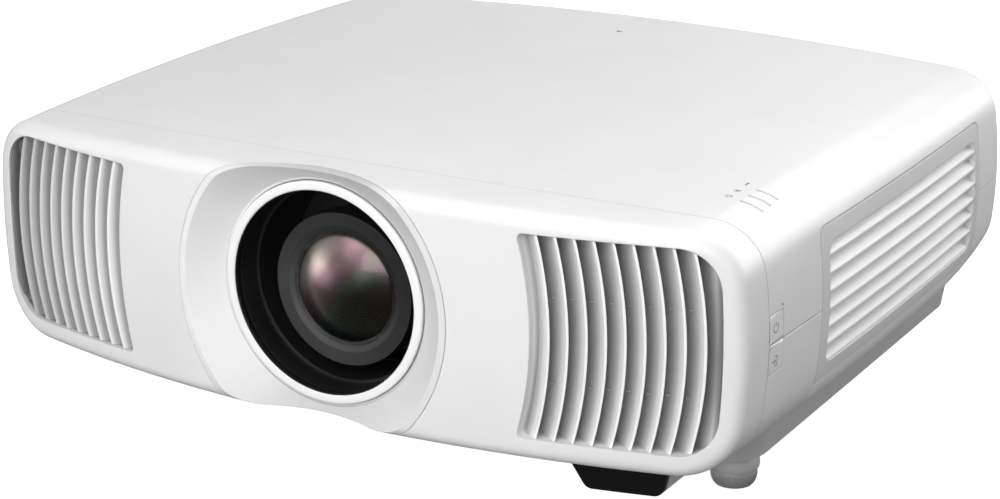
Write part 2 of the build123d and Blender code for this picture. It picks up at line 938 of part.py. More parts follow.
def vertical_carriage():
    z_span = (lens_rest_z - carriage_half_height, lens_rest_z + carriage_half_height)
    x_span = (-carriage_half_width, carriage_half_width)
    piece = block(x_span, carriage_y, z_span)
    piece = piece - rod_y_wise(barrel_radius + shift_side + 2 * running_gap, carriage_y, 0, lens_rest_z)
    piece = piece - both_sides(rod_z_wise(rod_radius + fit_gap, z_span, rod_x, rod_y))
    for side in (-1, 1):
        lug_x = sorted((side * carriage_half_width, side * (carriage_half_width - side_lug)))
        for end in (-1, 1):
            z = lens_rest_z + end * side_rod_offset
            lug = block(lug_x, (carriage_y[1], plate_y[1]), (z - side_lug, z + side_lug))
            piece = piece + (lug - rod_x_wise(side_rod_radius + fit_gap, lug_x, side_rod_y, z))
    return piece


def side_rods():
    x_span = (-carriage_half_width, carriage_half_width)
    heights = [lens_rest_z + end * side_rod_offset for end in (-1, 1)]
    return Part() + [rod_x_wise(side_rod_radius, x_span, side_rod_y, z) for z in heights]


def horizontal_carriage():
    x_span = (-plate_half_width, plate_half_width)
    piece = block(x_span, plate_y, (lens_rest_z - plate_half_height, lens_rest_z + plate_half_height))
    piece = piece - rod_y_wise(barrel_radius + fit_gap, plate_y, 0, lens_rest_z)
    for end in (-1, 1):
        z = lens_rest_z + end * side_rod_offset
        piece = piece - rod_x_wise(side_rod_radius + fit_gap, x_span, side_rod_y, z)
    return piece


def lens_barrel():
    bore = barrel_radius - barrel_wall
    hood_back = hood_y + hood_length
    profile = [
        (hood_radius, hood_y),
        (hood_radius, hood_back),
        (barrel_radius, hood_back + hood_radius - barrel_radius),
        (barrel_radius, flange_y[0]),
        (barrel_radius + barrel_flange, flange_y[0]),
        (barrel_radius + barrel_flange, flange_y[1]),
        (barrel_radius, flange_y[1]),
        (barrel_radius, ridge_y[0]),
        (barrel_radius + ridge_height, ridge_y[0]),
        (barrel_radius + ridge_height, ridge_y[1]),
        (barrel_radius, ridge_y[1]),
        (barrel_radius, tail_y[0]),
        (barrel_radius + ridge_height, tail_y[0]),
        (barrel_radius + ridge_height, tail_y[1]),
        (bore, tail_y[1]),
        (bore, glass_y + glass_edge + fit_gap),
        (glass_radius + fit_gap, glass_y + glass_edge + fit_gap),
        (glass_radius + fit_gap, glass_y),
        (hood_radius - hood_rim, hood_y + fit_gap),
        (hood_radius - hood_rim, hood_y),
    ]
    return turned(profile, lens_rest_z)


def front_element():
    dome_radius = (glass_radius**2 + glass_rise**2) / (2 * glass_rise)
    half = glass_radius / 2
    half_rise = glass_rise - dome_radius + math.sqrt(dome_radius**2 - half**2)
    back = glass_y + glass_edge
    outline = make_face(
        [
            ThreePointArc((0, glass_y - glass_rise), (half, glass_y - half_rise), (glass_radius, glass_y)),
            Line((glass_radius, glass_y), (glass_radius, back)),
            Line((glass_radius, back), (0, back)),
            Line((0, back), (0, glass_y - glass_rise)),
        ]
    )
    return Pos(0, 0, lens_rest_z) * revolve(outline, Axis.Y)


def lens_ring(y_span):
    # A turning ring with a raised grip band on the barrel.
    inner = barrel_radius + running_gap
    band = ring_length / 4
    profile = [
        (inner, y_span[0]),
        (inner + ring_wall / 2, y_span[0]),
        (inner + ring_wall / 2, y_span[0] + band),
        (inner + ring_wall, y_span[0] + band),
        (inner + ring_wall, y_span[1] - band),
        (inner + ring_wall / 2, y_span[1] - band),
        (inner + ring_wall / 2, y_span[1]),
        (inner, y_span[1]),
    ]
    return turned(profile, lens_rest_z)


def lens_motors():
    x = plate_half_width - motor_radius
    z = lens_rest_z + plate_half_height - motor_radius
    return both_sides(rod_y_wise(motor_radius, (plate_y[1], plate_y[1] + motor_length), x, z))


# Rear connectors.
port_mouth_y = bay_back_y + bay_wall + port_stand
port_places = {
    "hdmi": (hdmi_places, hdmi_size),
    "usb": (usb_places, usb_size),
    "lan": (lan_places, lan_size),
    "serial": (serial_places, serial_size),
}


def port_shell(x, size):
    wide, tall = size
    y_span = (port_mouth_y - port_depth, port_mouth_y)
    z_span = (board_z + board_thickness, board_z + board_thickness + tall)
    shell = block((x - wide / 2, x + wide / 2), y_span, z_span)
    mouth = block(
        (x - wide / 2 + port_wall, x + wide / 2 - port_wall),
        (y_span[0] + 2 * port_wall, y_span[1]),
        (z_span[0] + port_wall, z_span[1] - port_wall),
    )
    return shell - mouth


def port_tongue(x, tall, wide):
    z = board_z + board_thickness + tall / 2
    y_span = (port_mouth_y - port_depth + port_wall, port_mouth_y - 2 * port_wall)
    return block((x - wide / 2, x + wide / 2), y_span, (z - tongue_height / 2, z + tongue_height / 2))


def slim_ports(kind, tongue):
    places, size = port_places[kind]
    return Part() + [port_shell(x, size) + port_tongue(x, size[1], tongue) for x in places]


def lan_port():
    return port_shell(lan_places[0], lan_size)


def serial_port():
    # A metal plate with a raised D-shaped shell and a solid insulator in it.
    x = serial_places[0]
    wide, tall = serial_size
    z = board_z + board_thickness + tall / 2
    plate_span = (port_mouth_y - port_depth, bay_back_y - fit_gap)
    plate = block((x - wide / 2, x + wide / 2), plate_span, (z - tall / 2, z + tall / 2))
    upper, lower, rise = [size / 2 for size in serial_shell]
    corners = [(x - upper, z + rise), (x + upper, z + rise), (x + lower, z - rise), (x - lower, z - rise)]
    shell = make_face(Polyline(*corners, close=True))
    shell = fillet(shell.vertices(), tongue_height)
    return plate + rear_prism(shell, (bay_back_y - fit_gap, port_mouth_y + port_stand))


def trigger_jack():
    z = board_z + board_thickness + jack_radius + port_wall
    y_span = (port_mouth_y - port_depth, port_mouth_y)
    barrel = rod_y_wise(jack_radius, y_span, jack_x, z)
    foot = block(
        (jack_x - jack_radius, jack_x + jack_radius),
        (y_span[0], bay_back_y - fit_gap),
        (board_z + board_thickness, z),
    )
    return barrel + foot - rod_y_wise(jack_hole_radius, (y_span[0] + port_wall, y_span[1]), jack_x, z)


def rear_panel():
    # A recessed tray that closes the opening in the rear wall.
    face_y = rear_y(bay_half_width) - thick - fit_gap
    tray = rear_prism(bay_outline(-fit_gap), (bay_back_y, rear_y(bay_half_width) - fit_gap))
    tray = tray - rear_prism(bay_outline(-fit_gap - bay_wall), (bay_back_y + bay_wall, depth))
    flange = rear_prism(bay_outline(bay_flange), (face_y - bay_wall, face_y))
    tray = tray + (flange - rear_prism(bay_outline(-fit_gap - bay_wall), (bay_back_y, depth)))
    cuts = []
    for places, (wide, tall) in port_places.values():
        z_span = (board_z + board_thickness - fit_gap, board_z + board_thickness + tall + fit_gap)
        for x in places:
            x_span = (x - wide / 2 - fit_gap, x + wide / 2 + fit_gap)
            cuts.append(block(x_span, (bay_back_y, bay_back_y + bay_wall), z_span))
    z = board_z + board_thickness + jack_radius + port_wall
    cuts.append(rod_y_wise(jack_radius + fit_gap, (bay_back_y, bay_back_y + bay_wall), jack_x, z))
    return tray - cuts


def ac_inlet():
    # A mains socket with three flat pins, held in the rear wall by its flange.
    lip_y = inlet_y + inlet_wall
    socket = rear_prism(inlet_outline(0), (inlet_y - inlet_depth - inlet_wall, lip_y))
    socket = socket + rear_prism(inlet_outline(inlet_flange), (inlet_y + fit_gap, lip_y))
    socket = socket - rear_prism(inlet_outline(-inlet_wall), (inlet_y - inlet_depth, depth))
    thin, wide = inlet_pin
    reach = (inlet_y - inlet_depth - inlet_wall / 2, inlet_y - inlet_wall)
    for x, z in inlet_pin_places:
        x_span = (inlet_x + x - thin / 2, inlet_x + x + thin / 2)
        z_span = (inlet_z + z - wide / 2, inlet_z + z + wide / 2)
        socket = socket + block(x_span, reach, z_span)
    return socket


# Fans.
fan_y = grille_back_y + running_gap
fan_x = (grille_inner_x + grille_outer_x) / 2
intake_x = window_back_x - filter_thickness - 2 * running_gap - fan_thickness / 2


def fan_frame():
    body = fillet(Box(fan_size, fan_size, fan_thickness).edges().filter_by(Axis.Z), fan_strut)
    bore = fan_size / 2 - fan_bore_gap
    body = body - Cylinder(bore, fan_thickness)
    stator_z = -fan_thickness / 2 + fan_stator_height / 2
    body = body + Pos(0, 0, stator_z) * Cylinder(fan_hub_radius, fan_stator_height)
    strut_z = (fan_strut - fan_thickness) / 2
    strut = Pos(bore / 2, 0, strut_z) * Box(bore + fan_strut, fan_strut, fan_strut)
    body = body + [spot * strut for spot in PolarLocations(0, 3)]
    hole = Cylinder(fan_screw_radius, fan_thickness)
    reach = fan_size / 2 - 2 * fan_strut + fan_screw_radius
    return body - [Pos(x, y) * hole for x in (-reach, reach) for y in (-reach, reach)]


def fan_rotor():
    bottom = -fan_thickness / 2 + fan_stator_height + running_gap
    hub_height = fan_thickness / 2 - bottom - fan_blade_thickness
    middle = bottom + hub_height / 2
    tip = fan_size / 2 - 2 * fan_bore_gap
    hub = Pos(0, 0, middle) * Cylinder(fan_hub_radius, hub_height)
    root_face = Plane.YZ.offset(fan_hub_radius - fan_blade_thickness) * Rot(0, 0, fan_root_angle)
    tip_face = Plane.YZ.offset(tip) * Rot(0, 0, fan_tip_angle)
    blade = loft(
        [
            root_face * Rectangle(hub_height * fan_root_share, fan_blade_thickness),
            tip_face * Rectangle(hub_height * fan_tip_share, fan_blade_thickness),
        ]
    )
    return hub + [spot * Pos(0, 0, middle) * blade for spot in PolarLocations(0, fan_blade_count)]


def exhaust(shape, side):
    return Pos(side * fan_x, fan_y + fan_thickness / 2, grille_mid_z) * Rot(90, 0, 0) * shape


def intake(shape):
    return Pos(intake_x, window_mid[0], window_mid[1]) * Rot(0, 90, 0) * shape


def fan_bracket(centre_x, centre_y, size_x, size_y, fan_z):
    x_span = (centre_x - size_x / 2, centre_x + size_x / 2)
    y_span = (centre_y - size_y / 2, centre_y + size_y / 2)
    top = fan_z - fan_size / 2
    block_piece = block(x_span, y_span, (chassis_top, top))
    slot_x = (x_span[0] + fan_strut, x_span[1] - fan_strut)
    slot_y = (y_span[0] + fan_strut, y_span[1] - fan_strut)
    return block_piece - block(slot_x, slot_y, (chassis_top, top))


def fan_brackets():
    exhaust_y = fan_y + fan_thickness / 2
    pair = both_sides(fan_bracket(fan_x, exhaust_y, bracket_length, fan_thickness, grille_mid_z))
    return pair + fan_bracket(intake_x, window_mid[0], fan_thickness, bracket_length, window_mid[1])


# Chassis, optics, light source, boards.
def chassis_plate():
    plate = block(
        (-chassis_half_width, chassis_half_width),
        (chassis_front_y, chassis_rear_y),
        (chassis_top - chassis_thickness, chassis_top),
    )
    notch_x = (-frame_half_width, frame_half_width)
    plate = plate - block(notch_x, (chassis_front_y, frame_y), (case_floor, chassis_top))
    x = main_board_half_width - 2 * screw_tower_radius
    ends = (main_board_front_y + 2 * screw_tower_radius, chassis_rear_y - 2 * screw_tower_radius)
    posts = [rod_z_wise(fan_strut, (chassis_top, board_z), side * x, y) for side in (-1, 1) for y in ends]
    return plate + posts + fan_brackets()


engine_front_y = tail_y[1] + running_gap
engine_top = chassis_top + engine_height
engine_x = (-engine_half_width, engine_half_width)
engine_y = (engine_front_y, engine_rear_y)
prism_y = engine_front_y + engine_wall + prism_size


def optical_block():
    tray = block(engine_x, engine_y, (chassis_top, engine_top))
    hollow = block(
        (engine_x[0] + engine_wall, engine_x[1] - engine_wall),
        (engine_y[0] + engine_wall, engine_y[1] - engine_wall),
        (chassis_top + engine_wall, engine_top),
    )
    tray = fillet(tray.edges().filter_by(Axis.Z), engine_wall) - hollow
    front_span = (engine_front_y, engine_front_y + engine_wall)
    mouth = rod_y_wise(barrel_radius - barrel_wall, front_span, 0, lens_rest_z)
    stand_top = lens_rest_z - prism_size / 2
    stand = rod_z_wise(prism_size / 2, (chassis_top + engine_wall, stand_top), 0, prism_y)
    return tray - mouth + stand


def optical_lid():
    return block(engine_x, engine_y, (engine_top, engine_top + engine_wall))


def prism():
    return Pos(0, prism_y, lens_rest_z) * Box(prism_size, prism_size, prism_size)


def lcd_panels():
    wide, tall = panel_size
    near = prism_size / 2 + fit_gap
    side = Pos(near + panel_thickness / 2, prism_y, lens_rest_z) * Box(panel_thickness, wide, tall)
    back = Pos(0, prism_y + near + panel_thickness / 2, lens_rest_z) * Box(wide, panel_thickness, tall)
    return both_sides(side) + back


def laser_module():
    body = block(laser_span_x, laser_span_y, (chassis_top, chassis_top + laser_height))
    return fillet(body.edges().filter_by(Axis.Z), engine_wall)


def finned(x_span, y_span, z_span, base):
    # A base plate with upright fins side by side along X.
    plate = block(x_span, y_span, (z_span[0], z_span[0] + base))
    step = (x_span[1] - x_span[0] - fin_thickness) / (fin_count - 1)
    fins = []
    for i in range(fin_count):
        x = x_span[0] + step * i
        fins.append(block((x, x + fin_thickness), y_span, z_span))
    return plate + fins


def heat_sink():
    return finned(sink_span_x, sink_span_y, (chassis_top, chassis_top + sink_height), engine_wall)


def heat_pipe():
    # A pipe from the laser along the chassis to the sink behind the left fan.
    z = chassis_top + pipe_radius + fit_gap
    start = (laser_span_x[0] - fit_gap, sum(laser_span_y) / 2)
    turn = (supply_span_x[1] + 2 * pipe_radius, start[1])
    down = (turn[0], sum(sink_span_y) / 2)
    end = (sink_span_x[1] + fit_gap, down[1])
    route = [(x, y, z) for x, y in (start, turn, down, end)]
    path = FilletPolyline(*route, radius=2 * pipe_radius)
    return sweep(Plane(route[0], z_dir=(-1, 0, 0)) * Circle(pipe_radius), path)


wheel_x = laser_span_x[1] + wheel_radius + 3 * engine_wall
wheel_z = chassis_top + wheel_radius + engine_wall
wheel_y = laser_span_y[0] + engine_wall


def phosphor_motor():
    start = wheel_y + wheel_thickness + running_gap
    y_span = (start, start + wheel_motor_length)
    body = rod_y_wise(wheel_motor_radius, y_span, wheel_x, wheel_z)
    half = wheel_stand_width / 2
    return body + block((wheel_x - half, wheel_x + half), y_span, (chassis_top, wheel_z))


def phosphor_wheel():
    disc = rod_y_wise(wheel_radius, (wheel_y, wheel_y + wheel_thickness), wheel_x, wheel_z)
    return disc + rod_y_wise(wheel_hub_radius, (wheel_y - 2 * wheel_thickness, wheel_y), wheel_x, wheel_z)


def power_supply():
    low = chassis_top
    shell = block(supply_span_x, supply_span_y, (low, low + supply_height))
    step = (supply_span_y[1] - supply_span_y[0]) / (fin_count + 1)
    slot_z = (low + supply_height / 4, low + supply_height * 3 / 4)
    x_span = (supply_span_x[1] - engine_wall, supply_span_x[1])
    slots = []
    for i in range(fin_count):
        y = supply_span_y[0] + step * (i + 1)
        slots.append(block(x_span, (y - fin_thickness, y + fin_thickness), slot_z))
    return shell - slots


def main_board():
    board = block(
        (-main_board_half_width, main_board_half_width),
        (main_board_front_y, bay_back_y - fit_gap),
        (board_z, board_z + board_thickness),
    )
    top = board_z + board_thickness
    chip_y = (main_board_front_y + chip_setback, main_board_front_y + chip_setback + chip_size[1])
    return board + block((-chip_size[0] / 2, chip_size[0] / 2), chip_y, (top, top + chip_height))


nodes = {
    "front_bezel": front_bezel(),
    "lens_surround": lens_surround(),
    "lens_trim_ring": lens_trim_ring(),
    "lens_well": lens_well(),
    "right_grille": right_grille,
    "left_grille": mirror(right_grille, about=Plane.YZ),
    "upper_case": upper_case(),
    "lower_case": lower_case(),
    "filter_cover": filter_cover(),
    "air_filter": air_filter(),
    "power_button": side_button(power_span_z),
    "source_button": side_button(source_span_z),
    "control_board": control_board(),
    "status_light_pipes": status_light_pipes(),
    "front_sensor_window": front_sensor_window(),
    "front_sensor_housing": front_sensor_housing(),
    "rear_sensor_cover": rear_sensor_cover(),
    "base_tub": base_tub(),
    "case_screws": case_screws(),
    "foot_nuts": Part() + [foot_nut(*place) for place in foot_places],
    "left_foot_stud": foot_stud(*foot_places[0]),
    "left_foot_knob": foot_knob(*foot_places[0]),
    "right_foot_stud": foot_stud(*foot_places[1]),
    "right_foot_knob": foot_knob(*foot_places[1]),
    "rear_legs": both_sides(rear_leg(rear_foot_x, rear_foot_y)),
    "rear_foot_pads": both_sides(rear_pad(rear_foot_x, rear_foot_y)),
    "rear_panel": rear_panel(),
    "hdmi_usb_ports": slim_ports("hdmi", hdmi_tongue) + slim_ports("usb", usb_tongue),
    "lan_port": lan_port(),
    "control_ports": serial_port() + trigger_jack(),
    "ac_inlet": ac_inlet(),
    "lens_frame": lens_frame(),
    "upright_rods": upright_rods(),
    "vertical_carriage": vertical_carriage(),
    "side_rods": side_rods(),
    "horizontal_carriage": horizontal_carriage(),
    "lens_barrel": lens_barrel(),
    "front_element": front_element(),
    "focus_ring": lens_ring(focus_y),
    "zoom_ring": lens_ring(zoom_y),
    "lens_motors": lens_motors(),
    "left_fan_frame": exhaust(fan_frame(), -1),
    "left_fan_rotor": exhaust(fan_rotor(), -1),
    "right_fan_frame": exhaust(fan_frame(), 1),
    "right_fan_rotor": exhaust(fan_rotor(), 1),
    "intake_fan_frame": intake(fan_frame()),
    "intake_fan_rotor": intake(fan_rotor()),
    "chassis_plate": chassis_plate(),
    "optical_block": optical_block(),
    "optical_lid": optical_lid(),
    "prism": prism(),
    "lcd_panels": lcd_panels(),
    "laser_module": laser_module(),
    "heat_pipe": heat_pipe(),
    "heat_sink": heat_sink(),
    "phosphor_motor": phosphor_motor(),
    "phosphor_wheel": phosphor_wheel(),
    "power_supply": power_supply(),
    "main_board": main_board(),
}

os.makedirs("parts", exist_ok=True)
for name, shape in nodes.items():
    export_step(shape, f"parts/{name}.step")
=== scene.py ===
import json
import math
import bpy
import bmesh
from mathutils import Matrix, Vector
from mathutils.bvhtree import BVHTree


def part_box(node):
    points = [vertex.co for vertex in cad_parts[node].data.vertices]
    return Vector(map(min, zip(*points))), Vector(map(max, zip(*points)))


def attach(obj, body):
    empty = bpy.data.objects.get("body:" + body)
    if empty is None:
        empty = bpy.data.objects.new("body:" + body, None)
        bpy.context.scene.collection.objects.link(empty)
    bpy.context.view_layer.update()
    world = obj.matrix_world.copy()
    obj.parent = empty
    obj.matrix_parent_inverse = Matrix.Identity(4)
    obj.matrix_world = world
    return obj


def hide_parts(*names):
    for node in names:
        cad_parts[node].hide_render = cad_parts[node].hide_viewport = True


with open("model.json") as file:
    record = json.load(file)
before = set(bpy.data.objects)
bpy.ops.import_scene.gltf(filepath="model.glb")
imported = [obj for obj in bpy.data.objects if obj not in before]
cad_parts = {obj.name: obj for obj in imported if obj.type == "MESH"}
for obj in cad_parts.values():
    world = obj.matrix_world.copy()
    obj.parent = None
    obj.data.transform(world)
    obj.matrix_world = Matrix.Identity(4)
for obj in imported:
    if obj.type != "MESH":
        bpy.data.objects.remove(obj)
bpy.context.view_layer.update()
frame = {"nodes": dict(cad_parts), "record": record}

nodes = frame["nodes"]
mm = 0.001
bow = {"radius": 847, "y": 623.5}  # the front's curve: its radius and where its upright axis stands


def point(*xyz):
    return Vector(xyz) * mm


def circle(count):
    # Cosine and sine at even steps round a full turn.
    return [(math.cos(k * math.tau / count), math.sin(k * math.tau / count)) for k in range(count)]


# Camera and studio light.
camera = {"place": (737.29, -1281.96, 574.36), "azimuth": 29.946, "elevation": 18.448,
          "roll": -0.147, "lens": 87.483, "sensor": 36, "clip": (0.05, 60)}


def makeCamera():
    data = bpy.data.cameras.new("viewCamera")
    data.lens, data.sensor_width = camera["lens"], camera["sensor"]
    data.clip_start, data.clip_end = camera["clip"]
    eye = bpy.data.objects.new("viewCamera", data)
    turn = Matrix.Rotation(math.radians(camera["azimuth"]), 4, "Z")
    tip = Matrix.Rotation(math.radians(90 - camera["elevation"]), 4, "X")
    roll = Matrix.Rotation(math.radians(camera["roll"]), 4, "Z")
    eye.matrix_world = Matrix.Translation(point(*camera["place"])) @ turn @ tip @ roll
    bpy.context.scene.collection.objects.link(eye)
    bpy.context.scene.camera = eye


# The sky is a list of (height, level) pairs, from straight down at 0 to straight up at 1.
studio = {
    "sky": [(0.0, 0.17), (0.44, 0.17), (0.49, 0.06), (0.52, 1.12), (0.62, 0.16), (0.68, 0.26),
            (0.84, 0.02)],
    "lamps": {
        "overhead": {"place": (0.35, 0.2, 1.9), "aim": (0, 0.05, 0.1), "size": (1.8, 1.8),
                     "power": 17.6},
        "overRear": {"place": (0.3, 1.5, 1.5), "aim": (0, 0.05, 0.1), "size": (1.8, 1.2),
                     "power": 14.7},
        "rightRear": {"place": (1.3, 1.6, 0.8), "aim": (0.1, 0.05, 0.1), "size": (1.4, 1.1),
                      "power": 18.5},
        "nearFront": {"place": (0.1, -0.85, 0.62), "aim": (0, -0.2, 0.14), "size": (1.1, 0.3),
                      "power": 3.9},
        "frontFar": {"place": (0.5, -2.7, 0.75), "aim": (0, -0.1, 0.1), "size": (1.7, 0.8),
                     "power": 32},
        "leftFront": {"place": (-1.7, -1.1, 0.7), "aim": (0, -0.1, 0.1), "size": (1.2, 1.2),
                      "power": 0.5},
        "leftLow": {"place": (-1.6, -1.25, 0.2), "aim": (0, -0.18, 0.11), "size": (1.0, 0.45),
                    "power": 3.2},
    },
}


def makeLight():
    world = bpy.data.worlds.new("studioSky")
    bpy.context.scene.world = world
    world.use_nodes = True
    tree = world.node_tree
    where = tree.nodes.new("ShaderNodeTexCoord")
    split = tree.nodes.new("ShaderNodeSeparateXYZ")
    tree.links.new(where.outputs["Generated"], split.inputs["Vector"])
    height = tree.nodes.new("ShaderNodeMapRange")
    height.inputs["From Min"].default_value = -1
    tree.links.new(split.outputs["Z"], height.inputs["Value"])
    stops = [(at, (level,) * 3) for at, level in studio["sky"]]
    shade = ramp(tree, height.outputs["Result"], stops)
    tree.links.new(shade, tree.nodes["Background"].inputs["Color"])
    for name, lamp in studio["lamps"].items():
        data = bpy.data.lights.new(name, "AREA")
        data.shape, data.size, data.size_y = "RECTANGLE", *lamp["size"]
        data.energy = lamp["power"]
        lit = bpy.data.objects.new(name, data)
        lit.location = lamp["place"]
        lit.visible_camera = False
        toward = Vector(lamp["aim"]) - lit.location
        lit.rotation_euler = toward.to_track_quat("-Z", "Y").to_euler()
        bpy.context.scene.collection.objects.link(lit)
    bpy.context.scene.view_settings.view_transform = "Standard"


makeCamera()


# Materials.
def newMaterial(name):
    mat = bpy.data.materials.new(name)
    mat.use_nodes = True
    return mat, mat.node_tree, mat.node_tree.nodes["Principled BSDF"]


def addNode(tree, kind, **values):
    node = tree.nodes.new(kind)
    for key, value in values.items():
        if key in node.inputs:
            node.inputs[key].default_value = value
        else:
            setattr(node, key, value)
    return node


def noise(tree, scale, detail=3.0):
    where = addNode(tree, "ShaderNodeTexCoord")
    made = addNode(tree, "ShaderNodeTexNoise", Scale=scale, Detail=detail)
    tree.links.new(where.outputs["Object"], made.inputs["Vector"])
    return made.outputs["Fac"]


def ramp(tree, value, stops):
    made = addNode(tree, "ShaderNodeValToRGB")
    band = made.color_ramp
    while len(band.elements) < len(stops):
        band.elements.new(0.5)
    for mark, (at, colour) in zip(band.elements, stops):
        mark.position, mark.color = at, (*colour, 1)
    tree.links.new(value, made.inputs["Fac"])
    return made.outputs["Color"]


def span(tree, value, low, high):
    made = addNode(tree, "ShaderNodeMapRange")
    made.inputs["To Min"].default_value, made.inputs["To Max"].default_value = low, high
    tree.links.new(value, made.inputs["Value"])
    return made.outputs["Result"]


def painted(tree, colour, fade):
    # Painted shade, for shadow that the lamps do not give: the colour times a level that goes
    # with the depth, in millimetres, inside a radius round a centre.
    where = addNode(tree, "ShaderNodeTexCoord")
    scale = Vector(fade["scale"])
    centre = point(*fade["centre"])
    away = addNode(tree, "ShaderNodeMapping", Scale=scale, Location=-centre * scale)
    tree.links.new(where.outputs["Object"], away.inputs["Vector"])
    reach = addNode(tree, "ShaderNodeVectorMath", operation="LENGTH")
    tree.links.new(away.outputs["Vector"], reach.inputs[0])
    depth = addNode(tree, "ShaderNodeMapRange")
    depth.inputs["From Min"].default_value = fade["radius"] * mm
    depth.inputs["From Max"].default_value = (fade["radius"] - fade["end"]) * mm
    tree.links.new(reach.outputs["Value"], depth.inputs["Value"])
    stops = [(at / fade["end"], (level,) * 3) for at, level in fade["levels"]]
    both = addNode(tree, "ShaderNodeVectorMath", operation="MULTIPLY")
    tree.links.new(colour, both.inputs[0])
    tree.links.new(ramp(tree, depth.outputs["Result"], stops), both.inputs[1])
    return both.outputs["Vector"]


def behindFront(levels):
    # A painted shade that fades with the depth behind the bowed front.
    return {"centre": (0, bow["y"], 0), "scale": (1, 1, 0), "radius": bow["radius"], "end": 14,
            "levels": levels}


def inFromSides(levels):
    # A painted shade that fades with the distance in from x = 250 mm, on either side.
    return {"centre": (0, 0, 0), "scale": (1, 0, 0), "radius": 250, "end": 120, "levels": levels}


plainLook = {"shade": 0.03, "uneven": 0.04, "metal": 0, "specular": 0.5, "cloudScale": 30,
             "cloudBand": (0.3, 0.7), "grain": 0.08, "grainScale": 2600, "grainDetail": 2,
             "grainDepth": 0.0002, "edgeSamples": 4, "fades": []}


def moulded(name, ownLook):
    # Moulded plastic or metal: soft mottling, uneven gloss, fine grain and softened edges.
    look = plainLook | ownLook
    mat, tree, shader = newMaterial(name)
    cloud = noise(tree, look["cloudScale"])
    dark = tuple(c * (1 - look["shade"]) for c in look["colour"])
    light = tuple(min(1, c * (1 + look["shade"])) for c in look["colour"])
    colour = ramp(tree, cloud, list(zip(look["cloudBand"], (dark, light))))
    for fade in look["fades"]:
        colour = painted(tree, colour, fade)
    tree.links.new(colour, shader.inputs["Base Color"])
    low, high = look["rough"] - look["uneven"], look["rough"] + look["uneven"]
    tree.links.new(span(tree, cloud, low, high), shader.inputs["Roughness"])
    shader.inputs["Metallic"].default_value = look["metal"]
    shader.inputs["Specular IOR Level"].default_value = look["specular"]
    grain = addNode(tree, "ShaderNodeBump", Strength=look["grain"], Distance=look["grainDepth"])
    tree.links.new(noise(tree, look["grainScale"], look["grainDetail"]), grain.inputs["Height"])
    if "edge" in look:
        soft = addNode(tree, "ShaderNodeBevel", samples=look["edgeSamples"], Radius=look["edge"])
        tree.links.new(soft.outputs["Normal"], grain.inputs["Normal"])
    tree.links.new(grain.outputs["Normal"], shader.inputs["Normal"])
    return mat
